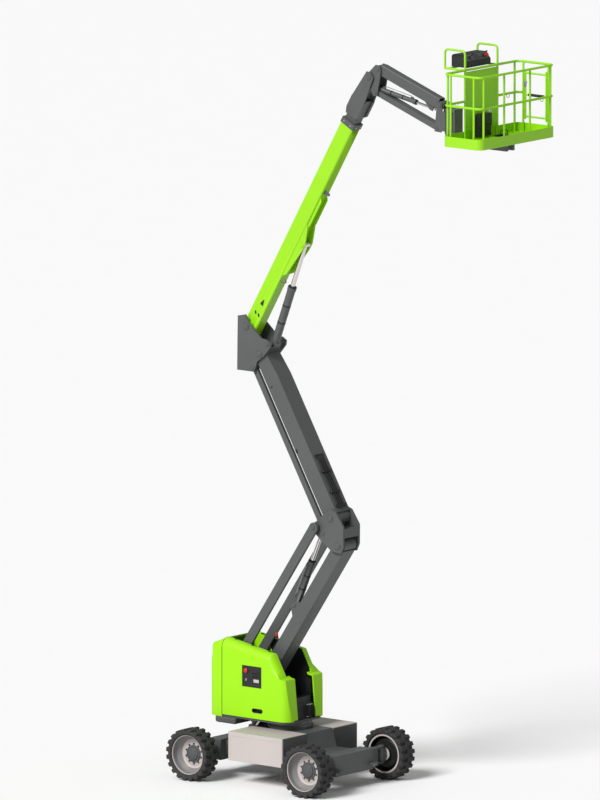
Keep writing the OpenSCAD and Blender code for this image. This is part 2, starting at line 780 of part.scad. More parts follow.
// Upper riser: welded box that tapers to a slim head between the top knuckle plates
module upper_riser() {
  half = upper_w / 2;
  foot_gap = 40;
  head_gap = 60;
  color(dark_grey) difference() {
    across(upper_foot, upper_angle, -half, half) {
      polygon([
        [foot_gap, upper_h / 2], [foot_gap, -upper_h / 2], [riser_len - taper_len, -upper_h / 2],
        [riser_len - head_gap, -upper_end_r], [riser_len - head_gap / 2, -upper_end_r],
        [riser_len - head_gap / 2, upper_h / 2]
      ]);
      circle(r = riser_end_r + 15);
      translate([riser_len, 0]) circle(r = upper_end_r);
    }
    for (p = [upper_foot, upper_head]) cross_bar(p, riser_pin_d / 2 + fit, -half - 1, half + 1);
    box_hollow(upper_foot, upper_angle, 150, riser_len - taper_len, upper_h, upper_w, riser_wall);
  }
}

// Pair of slim upper links under the upper riser
module upper_links() {
  color(dark_grey) for (y0 = [-upper_link_out, upper_link_in])
    pivot_bar(upper_link_foot, upper_link_head, upper_link_h, y0, y0 + upper_link_out - upper_link_in,
      link_pin_d / 2 + fit);
}

// Outline of the top knuckle plates
function top_outline() = [
  boom_pivot + [-160, 150], boom_pivot + [-17, 180], boom_pivot + [75, 40], upper_head + [40, 240],
  lift_base + [-10, 68], lift_base + [65, 20], lift_base + [55, -50], upper_head + [95, -20],
  upper_head + [-40, -120], upper_link_head + [40, -45], upper_link_head + [-290, -45]
];

// Top knuckle: side plates, rear web and the pins of riser, links, boom and lift cylinder
module top_knuckle() {
  rear_x = upper_link_head[0] - 285;
  color(dark_grey) {
    for (y0 = [-plate_out, plate_in]) side_plate(top_outline(), y0, y0 + plate_t);
    translate([rear_x, -plate_in - 1, upper_link_head[1] - 45]) cube([18, 2 * plate_in + 2, 560]);
    cross_bar(upper_head, riser_pin_d / 2, -plate_out - 12, plate_out + 12);
    cross_bar(upper_link_head, link_pin_d / 2, -plate_out - 8, plate_out + 8);
    cross_bar(boom_pivot, riser_pin_d / 2, -plate_out - 14, plate_out + 14);
    for (y0 = [-plate_out - 10, lift_barrel_r + side_gap])
      cross_bar(lift_base, link_pin_d / 2, y0, y0 + plate_out + 10 - lift_barrel_r - side_gap);
  }
}

// Riser cylinder barrel and rod
riser_cyl_angle = lean(riser_lug, link_head);
module riser_barrel() {
  color(dark_grey) barrel(riser_lug, riser_cyl_angle, riser_barrel_len, riser_barrel_r, riser_rod_r, 48,
    link_pin_d / 2, riser_barrel_r);
}
module riser_rod() {
  color(bright_steel) piston_rod(link_head, riser_cyl_angle, riser_rod_len, riser_rod_r, 45, 0, eye_half);
}

// Outer boom: welded box, bored pivot tube and the cheek plates of the lift cylinder
module main_boom() {
  tail = 140;
  cheek_in = lift_barrel_r + gland_lip + side_gap;
  cheek_out = boom_w / 2 - 4;
  color(lime) difference() {
    union() {
      along(boom_pivot, boom_angle) box_tube(boom_h, boom_w, 26, boom_wall, -tail, boom_len);
      cross_bar(boom_pivot, 75, -plate_in + side_gap, plate_in - side_gap);
      for (s = [-1, 1]) {
        y0 = s > 0 ? cheek_in : -cheek_out;
        side_plate([
          arm_point(boom_pivot, boom_angle, lift_lug_s - 620, boom_h / 2 - 4),
          arm_point(boom_pivot, boom_angle, lift_lug_s - 560, boom_h / 2 + 50),
          arm_point(boom_pivot, boom_angle, lift_lug_s - 60, lift_lug_off + 48),
          arm_point(boom_pivot, boom_angle, lift_lug_s + 45, lift_lug_off + 48),
          arm_point(boom_pivot, boom_angle, lift_lug_s + 300, boom_h / 2 + 34),
          arm_point(boom_pivot, boom_angle, lift_lug_s + 340, boom_h / 2 - 4)
        ], y0, y0 + cheek_out - cheek_in);
      }
      cross_bar(lift_lug, link_pin_d / 2, -cheek_out - 8, cheek_out + 8);
    }
    cross_bar(boom_pivot, riser_pin_d / 2 + fit, -plate_in, plate_in);
  }
}

// Wear pad collar at the boom mouth
module boom_collar() {
  color(dark_grey) along(boom_pivot, boom_angle) translate([0, 0, boom_len + 0.3]) linear_extrude(90)
    difference() {
      round_rect(boom_h + 22, boom_w + 22, 24);
      round_rect(fly_h + 2 * fit, fly_w + 2 * fit, 14 + fit);
    }
}

// Lift cylinder barrel and rod
lift_angle = lean(lift_base, lift_lug);
module lift_barrel() {
  color(dark_grey) barrel(lift_base, lift_angle, lift_barrel_len, lift_barrel_r, lift_rod_r, 60, 0, lift_barrel_r);
}
module lift_rod() {
  color(bright_steel) piston_rod(lift_lug, lift_angle, lift_rod_len, lift_rod_r, 46, link_pin_d / 2, lift_barrel_r);
}

// Fly boom: inner box, solid head block and the fork plates of the jib knuckle
module fly_boom() {
  head_s = boom_len + 250;
  pivot_s = boom_len + fly_reach;
  color(dark_grey) {
    along(boom_pivot, boom_angle) box_tube(fly_h, fly_w, 14, boom_wall, fly_tail, head_s + 260);
    for (s = [-1, 1]) {
      y0 = s > 0 ? fly_w / 2 - 1 : -head_plate_in - head_plate_t;
      side_plate([
        arm_point(boom_pivot, boom_angle, head_s - 60, -fly_h / 2 + 10),
        arm_point(boom_pivot, boom_angle, head_s + 30, -fly_h / 2 - 28),
        arm_point(boom_pivot, boom_angle, head_s + 250, -fly_h / 2 - 28),
        arm_point(boom_pivot, boom_angle, head_s + 250, fly_h / 2 + 22),
        arm_point(boom_pivot, boom_angle, head_s - 20, fly_h / 2 + 22),
        arm_point(boom_pivot, boom_angle, head_s - 60, fly_h / 2 - 10)
      ], y0, y0 + head_plate_in + head_plate_t - fly_w / 2 + 1);
      y1 = s > 0 ? head_plate_in : -head_plate_in - head_plate_t;
      side_plate([
        arm_point(boom_pivot, boom_angle, head_s + 200, -fly_h / 2 - 28),
        arm_point(boom_pivot, boom_angle, pivot_s + 60, -80),
        arm_point(boom_pivot, boom_angle, pivot_s + 85, 0),
        arm_point(boom_pivot, boom_angle, pivot_s + 40, 78),
        arm_point(boom_pivot, boom_angle, head_s + 200, fly_h / 2 + 22)
      ], y1, y1 + head_plate_t);
    }
    cross_bar(level_pivot, jib_pin_d / 2 + 8, -head_plate_in - head_plate_t - 8, head_plate_in + head_plate_t + 8);
  }
}

// Outline of the jib knuckle plates
function jib_knuckle_outline() = [
  level_pivot + [-62, -30], level_pivot + [-40, 60], jib_root + [-40, 68], jib_root + [45, 50],
  jib_root + [60, -30], jib_bar_root + [52, 30], jib_bar_root + [42, -48], jib_bar_root + [-40, -48],
  jib_base + [-60, 0]
];

// Jib knuckle: levelled plates with the jib pins
module jib_knuckle() {
  color(dark_grey) difference() {
    union() {
      for (s = [-1, 1]) {
        y0 = s > 0 ? jib_plate_in : -jib_plate_out;
        side_plate(jib_knuckle_outline(), y0, y0 + jib_plate_t);
        y1 = s > 0 ? jib_barrel_r + 8 : -jib_plate_out - 6;
        cross_bar(jib_bar_root, jib_pin_d / 2, y1, y1 + jib_plate_out + 6 - jib_barrel_r - 8);
      }
      cross_bar(level_pivot, 62, -jib_plate_out, jib_plate_out);
      cross_bar(jib_root, jib_pin_d / 2, -jib_plate_out - 4, jib_plate_out + 4);
      for (y0 = [-jib_plate_out - 4, jib_eye_half + side_gap])
        cross_bar(jib_base, jib_base_pin_d / 2, y0, y0 + jib_plate_out + 4 - jib_eye_half - side_gap);
    }
    cross_bar(level_pivot, jib_pin_d / 2 + 8 + fit, -jib_plate_out - 1, jib_plate_out + 1);
  }
}

// Jib arm: upper box of the jib with bored ends and the rod lug
module jib_arm() {
  half = jib_w / 2;
  lug_half = 26;
  color(dark_grey) difference() {
    union() {
      along(jib_root, jib_angle) box_tube(jib_h, jib_w, 22, boom_wall, 30, jib_len - 52);
      cross_bar(jib_lug, jib_lug_pin_d / 2, -lug_half - 18, lug_half + 18);
      for (p = [jib_root, jib_tip]) cross_bar(p, 62, -half, half);
      for (y0 = [-lug_half - 14, lug_half])
        side_plate([
          arm_point(jib_root, jib_angle, jib_lug_s - 170, jib_h / 2 - 5),
          arm_point(jib_root, jib_angle, jib_lug_s - 34, jib_lug_off + 28),
          arm_point(jib_root, jib_angle, jib_lug_s + 24, jib_lug_off + 28),
          arm_point(jib_root, jib_angle, jib_lug_s + 24, jib_h / 2 - 40)
        ], y0, y0 + 14);
    }
    for (p = [jib_root, jib_tip]) cross_bar(p, jib_pin_d / 2 + fit, -half - 1, half + 1);
  }
}

// Pair of lower jib bars
module jib_bars() {
  color(dark_grey) for (y0 = [-jib_bar_in - jib_bar_t, jib_bar_in])
    pivot_bar(jib_bar_root, jib_bar_tip, jib_bar_h, y0, y0 + jib_bar_t, jib_pin_d / 2 + fit);
}

// Jib end: levelled plates, rotary actuator housing and its shaft
rotor_low = jib_bar_tip[1] - 25;
rotor_high = jib_tip[1] - 90;
module jib_end() {
  neck_x = rotor_x - rotor_r - side_gap;
  color(dark_grey) {
    for (y0 = [-jib_plate_out, jib_plate_in])
      side_plate([
        jib_tip + [-50, 45], jib_tip + [30, 45], [neck_x, jib_tip[1] + 25], [neck_x, rotor_high],
        [rotor_x - 40, rotor_high], [rotor_x - 40, rotor_low], [neck_x, rotor_low],
        [neck_x - 20, jib_bar_tip[1] - 48], jib_bar_tip + [-45, -40]
      ], y0, y0 + jib_plate_t);
    for (p = [jib_tip, jib_bar_tip]) cross_bar(p, jib_pin_d / 2, -jib_plate_out - 4, jib_plate_out + 4);
    translate([rotor_x, 0, rotor_low]) cylinder(r = rotor_r, h = rotor_high - rotor_low);
    translate([rotor_x, 0, rotor_low - 55]) cylinder(r = rotor_pin_r, h = rotor_high - rotor_low + 110);
  }
}

// Jib cylinder barrel and rod
jib_cyl_angle = lean(jib_base, jib_lug);
module jib_barrel() {
  color(dark_grey) barrel(jib_base, jib_cyl_angle, jib_barrel_len, jib_barrel_r, jib_rod_r, 38, 0, jib_eye_half);
}
module jib_rod() {
  color(bright_steel) piston_rod(jib_lug, jib_cyl_angle, jib_rod_len, jib_rod_r, 24, jib_lug_pin_d / 2, 21);
}

// Platform support: two rotor plates, their web, and beams under the deck
module platform_support() {
  half = 100;
  web_x = rotor_x + rotor_r + 15;
  color(dark_grey) {
    difference() {
      union() {
        for (z = [rotor_low - 50, rotor_high + 5]) translate([rotor_x, 0, z]) {
          cylinder(r = half, h = 45);
          translate([0, -half, 0]) cube([web_x - rotor_x + 25, 2 * half, 45]);
        }
        translate([web_x, -half, rotor_low - 50]) cube([25, 2 * half, rotor_high - rotor_low + 100]);
      }
      translate([rotor_x, 0, 0]) cylinder(r = rotor_pin_r + fit, h = 20000);
    }
    for (y0 = [-half, half - 50])
      translate([web_x + 10, y0, deck_z - 120.3]) cube([deck_front_x - 160 - web_x, 50, 120]);
    translate([web_x + 10, -half, deck_z - 120.3]) cube([16, 2 * half, rotor_low - deck_z + 100]);
  }
}

// Plan of the platform, shrunk by a margin
module deck_plan(margin) {
  translate([(deck_rear_x + deck_front_x) / 2, 0])
    round_rect(deck_depth - 2 * margin, deck_len - 2 * margin, deck_r - margin);
}

// Platform deck with its toe board, which is open at the entry
module platform_deck() {
  color(lime) translate([0, 0, deck_z]) {
    linear_extrude(deck_t) deck_plan(0);
    linear_extrude(deck_t + tread_t) deck_plan(tread_margin);
    linear_extrude(toe_h) difference() {
      deck_plan(0);
      deck_plan(toe_t);
    }
  }
}

// Quarter bend of rail with its middle at the given plan point
module rail_bend(x, y, start, z) {
  translate([x, y, z]) rotate([0, 0, start]) rotate_extrude(angle = 90)
    translate([deck_r - rail_in, 0]) circle(r = rail_r);
}

// Straight rail between two plan points at one height
module rail_line(p, q, z, r) {
  translate([p[0], p[1], z]) rotate([0, 90, atan2(q[1] - p[1], q[0] - p[0])]) cylinder(r = r, h = norm(q - p));
}

// Upright post from the deck to the top rail
module post(x, y) {
  translate([x, y, deck_z + deck_t]) cylinder(d = post_d, h = rail_h - deck_t - rail_r);
}

rail_x0 = deck_rear_x + rail_in;
rail_x1 = deck_front_x - rail_in;
rail_y = deck_len / 2 - rail_in;
bend_y = deck_len / 2 - deck_r;
bend_x0 = deck_rear_x + deck_r;
bend_x1 = deck_front_x - deck_r;
top_z = deck_z + rail_h - rail_r;
mid_z = deck_z + mid_h;

// Entry gate between the end posts, on pintles of the front post
gate_x1 = bend_x1 - 20 - post_d - gate_gap / 2;
gate_x0 = bend_x0 + 20 + post_d + 6;
gate_low = deck_z + toe_h + 60;
gate_high = top_z - 130;
ear_t = 12;
pintle_r = 7;
pintle_len = 26;

// Front guard rail with its two bends and two posts
module rail_front() {
  color(lime) {
    for (z = [top_z, mid_z]) {
      rail_line([rail_x1, -bend_y], [rail_x1, bend_y], z, rail_r);
      rail_bend(bend_x1, bend_y, 0, z);
      rail_bend(bend_x1, -bend_y, -90, z);
    }
    for (y = [-deck_len * 0.17, deck_len * 0.17]) post(rail_x1, y);
    for (s = [-1, 1]) post(rail_x1, s * bend_y);
  }
}

// Rear guard rail with its bends, panel posts and the two hoops that guard the console
module rail_rear() {
  color(lime) {
    translate([rail_x0 - hoop_back + 60, -panel_half, top_z]) rotate([-90, 0, 0])
      cylinder(d = post_d - 3, h = 2 * panel_half);
    for (z = [top_z, mid_z], s = [-1, 1]) {
      rail_line([rail_x0, s * panel_half], [rail_x0, s * bend_y], z, rail_r);
      rail_bend(bend_x0, bend_y, 90, z);
      rail_bend(bend_x0, -bend_y, 180, z);
    }
    rail_line([rail_x0, -panel_half], [rail_x0, panel_half], top_z, rail_r);
    for (s = [-1, 1]) {
      post(rail_x0, s * bend_y);
      post(rail_x0, s * panel_half);
      translate([rail_x0, s * panel_half, top_z]) {
        cylinder(d = post_d, h = hoop_up - 60);
        translate([-60, 0, hoop_up - 60]) rotate([90, 0, 0]) rotate_extrude(angle = 90)
          translate([60, 0]) circle(d = post_d);
        translate([-60, 0, hoop_up]) rotate([0, -90, 0]) cylinder(d = post_d, h = hoop_back - 120);
        translate([-hoop_back + 60, 0, hoop_up - 60]) rotate([90, 0, 0]) rotate([0, 0, 90])
          rotate_extrude(angle = 90) translate([60, 0]) circle(d = post_d);
        translate([-hoop_back, 0, 0]) cylinder(d = post_d, h = hoop_up - 60);
        translate([-hoop_back, 0, 0]) sphere(d = post_d);
        translate([-hoop_back, 0, 0]) rotate([0, 90, 0]) cylinder(d = post_d, h = hoop_back);
      }
    }
  }
}

// Closed end of the platform
module rail_side_right() {
  color(lime) {
    for (z = [top_z, mid_z]) rail_line([bend_x0 + 0.3, -rail_y], [bend_x1 - 0.3, -rail_y], z, rail_r);
    for (x = [bend_x0 + 40, bend_x1 - 40]) post(x, -rail_y);
  }
}

// Entry end: top rail, the two posts beside the gate and the pintles that carry it
module rail_side_left() {
  color(lime) {
    rail_line([bend_x0 + 0.3, rail_y], [bend_x1 - 0.3, rail_y], top_z, rail_r);
    for (x = [bend_x0 + 20, bend_x1 - 20]) post(x, rail_y);
    for (z = [gate_low - ear_t - 0.4, gate_high + 0.4])
      translate([gate_x1, rail_y - 14, z]) cube([gate_gap + post_d, 28, ear_t]);
    for (z = [gate_low - ear_t / 2, gate_high - pintle_len])
      translate([gate_x1, rail_y, z]) cylinder(r = pintle_r, h = pintle_len + ear_t / 2);
  }
}

// Sheet panel behind the controls
module rear_panel() {
  color(lime) translate([rail_x0 - 6, -panel_half + post_d / 2 + 0.3, deck_z + toe_h + 0.3])
    cube([12, 2 * panel_half - post_d - 0.6, rail_h - toe_h - rail_d - 10]);
}

// Control console between the hoops
module control_console() {
  half = 290;
  x0 = rail_x0 - hoop_back + 40;
  low = top_z + post_d / 2 - 1;
  color(black_paint) side_plate([
    [x0, low], [x0 + 300, low], [x0 + 300, low + 90],
    [x0 + 210, low + 190], [x0 + 20, low + 190], [x0, low + 160]
  ], -half, half);
}

// Entry gate, hung on the front post and swinging into the platform
module entry_gate() {
  inset = 40;
  color(lime) difference() {
    union() {
      for (z = [gate_low + inset, (gate_low + gate_high) / 2, gate_high - inset])
        rail_line([gate_x0, rail_y], [gate_x1, rail_y], z, post_d / 2 - 2);
      for (x = [gate_x0, gate_x1])
        translate([x, rail_y, gate_low]) cylinder(d = post_d, h = gate_high - gate_low);
    }
    for (z = [gate_low - 1, gate_high - pintle_len - 2])
      translate([gate_x1, rail_y, z]) cylinder(r = pintle_r + fit, h = pintle_len + 3);
  }
}

module battery_box_left() battery_box(1);
module battery_box_right() battery_box(-1);
module steer_knuckle_left() steer_knuckle(1);
module steer_knuckle_right() steer_knuckle(-1);

chassis_frame();
front_axle();
rear_axle();
battery_box_left();
battery_box_right();
slew_ring();
steer_knuckle_left();
steer_knuckle_right();
tie_rod();
tyre(wheel_x, 1);  // tyre_front_left
tyre(wheel_x, -1);  // tyre_front_right
tyre(-wheel_x, 1);  // tyre_rear_left
tyre(-wheel_x, -1);  // tyre_rear_right
rim(wheel_x, 1);  // rim_front_left
rim(wheel_x, -1);  // rim_front_right
rim(-wheel_x, 1);  // rim_rear_left
rim(-wheel_x, -1);  // rim_rear_right
turret_frame();
inner_panels();
turret_equipment();
counterweight();
tail_cover();
beacon();
hood_left();
hood_right();
ground_controls();
lower_riser();
lower_links();
mid_knuckle();
upper_riser();
upper_links();
top_knuckle();
riser_barrel();
riser_rod();
main_boom();
boom_collar();
lift_barrel();
lift_rod();
fly_boom();
jib_knuckle();
jib_arm();
jib_bars();
jib_end();
jib_barrel();
jib_rod();
platform_support();
platform_deck();
rail_front();
rail_rear();
rail_side_right();
rail_side_left();
rear_panel();
control_console();
entry_gate();
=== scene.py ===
"""Articulating boom lift: finishes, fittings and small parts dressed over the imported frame."""

import json
import math

import bmesh
import bpy
import numpy as np
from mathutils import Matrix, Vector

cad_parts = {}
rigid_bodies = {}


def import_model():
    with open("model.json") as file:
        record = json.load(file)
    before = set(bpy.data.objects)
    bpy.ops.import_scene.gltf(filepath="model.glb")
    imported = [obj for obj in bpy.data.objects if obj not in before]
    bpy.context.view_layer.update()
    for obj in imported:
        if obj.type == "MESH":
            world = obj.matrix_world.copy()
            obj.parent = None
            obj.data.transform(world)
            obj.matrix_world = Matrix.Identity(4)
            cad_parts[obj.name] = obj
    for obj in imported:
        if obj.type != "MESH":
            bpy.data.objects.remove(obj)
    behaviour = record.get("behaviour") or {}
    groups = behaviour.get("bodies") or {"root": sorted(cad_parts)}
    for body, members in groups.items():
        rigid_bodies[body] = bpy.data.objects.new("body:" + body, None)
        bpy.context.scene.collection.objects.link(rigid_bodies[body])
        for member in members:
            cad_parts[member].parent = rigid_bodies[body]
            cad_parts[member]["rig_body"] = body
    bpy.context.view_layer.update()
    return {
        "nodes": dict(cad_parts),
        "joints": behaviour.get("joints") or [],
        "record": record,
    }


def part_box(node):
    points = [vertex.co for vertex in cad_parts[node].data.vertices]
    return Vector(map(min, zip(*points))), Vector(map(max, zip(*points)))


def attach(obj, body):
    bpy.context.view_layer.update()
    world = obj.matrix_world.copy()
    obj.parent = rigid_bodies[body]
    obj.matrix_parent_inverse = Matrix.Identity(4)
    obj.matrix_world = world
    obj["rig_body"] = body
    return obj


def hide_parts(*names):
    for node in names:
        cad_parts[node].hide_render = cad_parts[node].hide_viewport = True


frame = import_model()
pin = {j["name"]: np.array(j["pos_m"]) for j in frame["joints"] if "pos_m" in j}
slot_of = {s["node"]: s["material_slot"] for s in frame["record"]["subparts"]}

# Studio: a white floor that fills the picture, one broad sun from the left and an even white sky.
# The camera is far away with a long lens, because the photograph is almost parallel in projection.
# The floor throws back only a share of its light, so that shaded faces stay as deep as in the photograph.
VIEW_TURN = math.radians(39.0)
VIEW_RISE = math.radians(9.5)
VIEW_TARGET = np.array([0.187, 0.0, 5.864])
VIEW_DISTANCE = 300.0
VIEW_HEIGHT = 12.12
VIEW_LIMIT = 3000.0
SENSOR = 36.0
FLOOR_HALF = 400.0
FLOOR_BOUNCE = 0.8
SUN_POWER = 3.45
SUN_SPREAD = math.radians(24.0)
SUN_TURN = [math.radians(a) for a in (48.0, -14.0, 10.0)]
SKY_POWER = 0.35

toward_camera = np.array([math.cos(VIEW_RISE) * math.sin(VIEW_TURN),
                          -math.cos(VIEW_RISE) * math.cos(VIEW_TURN),
                          math.sin(VIEW_RISE)])
camera_data = bpy.data.cameras.new("photo_camera")
camera_data.sensor_width = SENSOR
camera_data.lens = SENSOR * VIEW_DISTANCE / VIEW_HEIGHT
camera_data.clip_end = VIEW_LIMIT
camera = bpy.data.objects.new("photo_camera", camera_data)
camera.location = VIEW_TARGET + VIEW_DISTANCE * toward_camera
camera.rotation_euler = (math.pi / 2 - VIEW_RISE, 0.0, VIEW_TURN)
bpy.context.scene.collection.objects.link(camera)
bpy.context.scene.camera = camera


def linear(hex_colour):
    """sRGB hex to a linear RGBA colour."""
    srgb = np.array([int(hex_colour[i:i + 2], 16) for i in (1, 3, 5)]) / 255.0
    low = srgb / 12.92
    high = ((srgb + 0.055) / 1.055) ** 2.4
    return (*np.where(srgb <= 0.04045, low, high), 1.0)


def add_node(tree, kind, links=None, values=None, **settings):
    """Adds one node: links maps an input to the socket that feeds it, values sets inputs."""
    made = tree.nodes.new(kind)
    for key, value in settings.items():
        setattr(made, key, value)
    for key, value in (values or {}).items():
        made.inputs[key].default_value = value
    for key, socket in (links or {}).items():
        tree.links.new(socket, made.inputs[key])
    return made


def coated(name, colour, roughness, drift, peel_mm, peel_height, ior=1.5, metallic=0.0):
    """A sprayed, moulded or plated finish: a slow drift of shade, a rubbed gloss and a fine peel or grain.

    drift is the share by which the colour wanders. peel_mm is the width of the peel's bumps, which is drawn
    coarser than the real peel so that it shows.
    """
    made = bpy.data.materials.new(name)
    made.use_nodes = True
    tree = made.node_tree
    shader = tree.nodes["Principled BSDF"]
    place = add_node(tree, "ShaderNodeTexCoord").outputs["Object"]
    middle = {"From Min": 0.3, "From Max": 0.7}
    cloud = add_node(tree, "ShaderNodeTexNoise", {"Vector": place}, {"Scale": 1.7, "Detail": 3.0})
    shade = add_node(tree, "ShaderNodeMapRange", {"Value": cloud.outputs["Fac"]},
                     {**middle, "To Min": 1.0 - drift, "To Max": 1.0 + drift})
    tint = add_node(tree, "ShaderNodeVectorMath", {0: shade.outputs["Result"]}, {1: linear(colour)[:3]},
                    operation="MULTIPLY")
    tree.links.new(tint.outputs["Vector"], shader.inputs["Base Color"])
    rub = add_node(tree, "ShaderNodeTexNoise", {"Vector": place}, {"Scale": 23.0, "Detail": 4.0})
    gloss = add_node(tree, "ShaderNodeMapRange", {"Value": rub.outputs["Fac"]},
                     {**middle, "To Min": roughness * 0.88, "To Max": roughness * 1.12})
    tree.links.new(gloss.outputs["Result"], shader.inputs["Roughness"])
    peel = add_node(tree, "ShaderNodeTexNoise", {"Vector": place}, {"Scale": 1000.0 / peel_mm, "Detail": 2.0})
    bump = add_node(tree, "ShaderNodeBump", {"Height": peel.outputs["Fac"]},
                    {"Strength": 0.25, "Distance": peel_height})
    tree.links.new(bump.outputs["Normal"], shader.inputs["Normal"])
    shader.inputs["IOR"].default_value = ior
    shader.inputs["Metallic"].default_value = metallic
    return made


def mesh_object(name, shape, material, sharp=35.0):
    """Links a mesh object at the origin from a shape, which is points and a list of faces."""
    points, faces = shape
    mesh = bpy.data.meshes.new(name)
    mesh.from_pydata(np.asarray(points, float).tolist(), [], faces)
    solid = bmesh.new()
    solid.from_mesh(mesh)
    bmesh.ops.recalc_face_normals(solid, faces=solid.faces)
    solid.to_mesh(mesh)
    solid.free()
    mesh.materials.append(material)
    mesh.polygons.foreach_set("use_smooth", [True] * len(mesh.polygons))
    mesh.set_sharp_from_angle(angle=math.radians(sharp))
    made = bpy.data.objects.new(name, mesh)
    bpy.context.scene.collection.objects.link(made)
    return made


floor_paint = coated("white_studio_floor", "#FBFBFB", 0.6, 0.004, 40.0, 0.0002)
floor_tree = floor_paint.node_tree
floor_shader = floor_tree.nodes["Principled BSDF"]
floor_colour = floor_shader.inputs["Base Color"].links[0].from_socket
seen = add_node(floor_tree, "ShaderNodeLightPath").outputs["Is Camera Ray"]
dimmer = add_node(floor_tree, "ShaderNodeMapRange", {"Value": seen}, {"To Min": FLOOR_BOUNCE, "To Max": 1.0})
dimmed = add_node(floor_tree, "ShaderNodeVectorMath", {0: floor_colour, 1: dimmer.outputs["Result"]},
                  operation="MULTIPLY")
floor_tree.links.new(dimmed.outputs["Vector"], floor_shader.inputs["Base Color"])
floor_corners = FLOOR_HALF * np.array([[-1, -1, 0], [1, -1, 0], [1, 1, 0], [-1, 1, 0]])
floor = mesh_object("studio_floor", (floor_corners, [[0, 1, 2, 3]]), floor_paint)

sun_data = bpy.data.lights.new("studio_sun", "SUN")
sun_data.energy = SUN_POWER
sun_data.angle = SUN_SPREAD
sun = bpy.data.objects.new("studio_sun", sun_data)
sun.rotation_euler = SUN_TURN
bpy.context.scene.collection.objects.link(sun)
world = bpy.data.worlds.new("studio_sky")
world.use_nodes = True
world.node_tree.nodes["Background"].inputs["Color"].default_value = (1.0, 1.0, 1.0, 1.0)
world.node_tree.nodes["Background"].inputs["Strength"].default_value = SKY_POWER
bpy.context.scene.world = world
bpy.context.scene.view_settings.view_transform = "Standard"

# Welded and machined pieces: steel plate and tube, flame cut, welded, ground along the edges and sprayed.
# Enamel gives an even, faintly pebbled shine. The casting under its paint is rougher, moulded plastic is
# duller, and the hard chrome of the piston rods mirrors what stands round it.
GROUND_EDGE = 0.004
round_edge = {"counterweight": 0.022, "battery_box_left": 0.008, "battery_box_right": 0.008,
              "control_console": 0.012}
WELD_GAP = 2e-5
FLAT_ANGLE = math.radians(0.6)

lime_enamel = coated("lime_sprayed_enamel", "#91D204", 0.42, 0.02, 9.0, 0.00012)
grey_enamel = coated("dark_grey_sprayed_enamel", "#4F5151", 0.46, 0.05, 9.0, 0.00016)
pale_enamel = coated("pale_grey_sprayed_enamel", "#B8AFAC", 0.5, 0.02, 9.0, 0.00012)
black_enamel = coated("black_sprayed_enamel", "#141416", 0.5, 0.1, 9.0, 0.00016)
black_plastic = coated("black_moulded_plastic", "#1B1C1E", 0.55, 0.1, 2.5, 0.0002)
cast_grey = coated("dark_grey_painted_casting", "#4A4C4D", 0.6, 0.08, 14.0, 0.0008)
rod_chrome = coated("hard_chromed_steel", "#E4DEDC", 0.16, 0.02, 6.0, 0.00003, metallic=1.0)
finish_of = {
    "dark_grey_paint": grey_enamel, "lime_paint": lime_enamel, "pale_grey_paint": pale_enamel,
    "black_paint": black_enamel, "control_plastic": black_plastic, "cast_counterweight": cast_grey,
    "piston_rod_chrome": rod_chrome,
}


def softened(node, width, material, angle=30.0, segments=2):
    """A copy of a CAD piece with its sharp edges rolled over by a bevel of the given width."""
    source = frame["nodes"][node]
    made = bpy.data.objects.new(node + "_finish", source.data.copy())
    bpy.context.scene.collection.objects.link(made)
    shape = bmesh.new()
    shape.from_mesh(made.data)
    bmesh.ops.remove_doubles(shape, verts=shape.verts, dist=WELD_GAP)
    bmesh.ops.dissolve_limit(shape, angle_limit=FLAT_ANGLE, verts=shape.verts, edges=shape.edges)
    shape.to_mesh(made.data)
    shape.free()
    made.data.materials.clear()
    made.data.materials.append(material)
    made.data.polygons.foreach_set("use_smooth", [True] * len(made.data.polygons))
    made.data.set_sharp_from_angle(angle=math.radians(angle))
    roll = made.modifiers.new("edge_roll", "BEVEL")
    roll.width = width
    roll.segments = segments
    roll.limit_method = "ANGLE"
    roll.angle_limit = math.radians(angle)
    roll.harden_normals = True
    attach(made, source["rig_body"])
    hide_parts(node)
    return made


for node, slot in slot_of.items():
    if node.startswith(("tyre", "rim", "beacon")) or slot == "lime_cover":
        continue
    if node.startswith(("rail_", "entry_gate")) or node.endswith("_rod"):
        round_bar = frame["nodes"][node].data
        round_bar.materials.clear()
        round_bar.materials.append(finish_of[slot])
    else:
        segments = 3 if node in round_edge else 2
        softened(node, round_edge.get(node, GROUND_EDGE), finish_of[slot], segments=segments)

# Moulded covers: two hoods and a tail of lacquered plastic, smoother and a little duller than the steel.
# Their outer top edges turn through a wide round. The CAD form gets a small roll on all edges, is cut into
# strips near those edges, and then its points are drawn in.
COVER_EDGE = 0.010
COVER_ROLL = 0.13
COVER_HALF = 0.48
STRIPS = 7
ROOF_BLEND = 0.06
ROLL_FOOT = 1.63
ROLL_FADE = 0.12
CREASE = math.radians(40.0)
CROSS_CUTS = (-1.03, -0.90, -0.85, -0.22, -0.16, -0.11, -0.07, 0.03, 0.08, 0.13)
LEVEL_CUTS = (1.63, 1.67, 1.71, 1.75)
lime_moulding = coated("lime_lacquered_moulding", "#96DA04", 0.44, 0.015, 16.0, 0.0001, ior=1.4)
roof = np.array([[-1.22, 1.96], [-1.18, 2.04], [-0.94, 2.14], [-0.02, 1.975], [0.175, 1.625]])
roof_run = np.diff(roof, axis=0)
roof_out = np.stack([-roof_run[:, 1], roof_run[:, 0]], -1) / np.linalg.norm(roof_run, axis=1, keepdims=True)


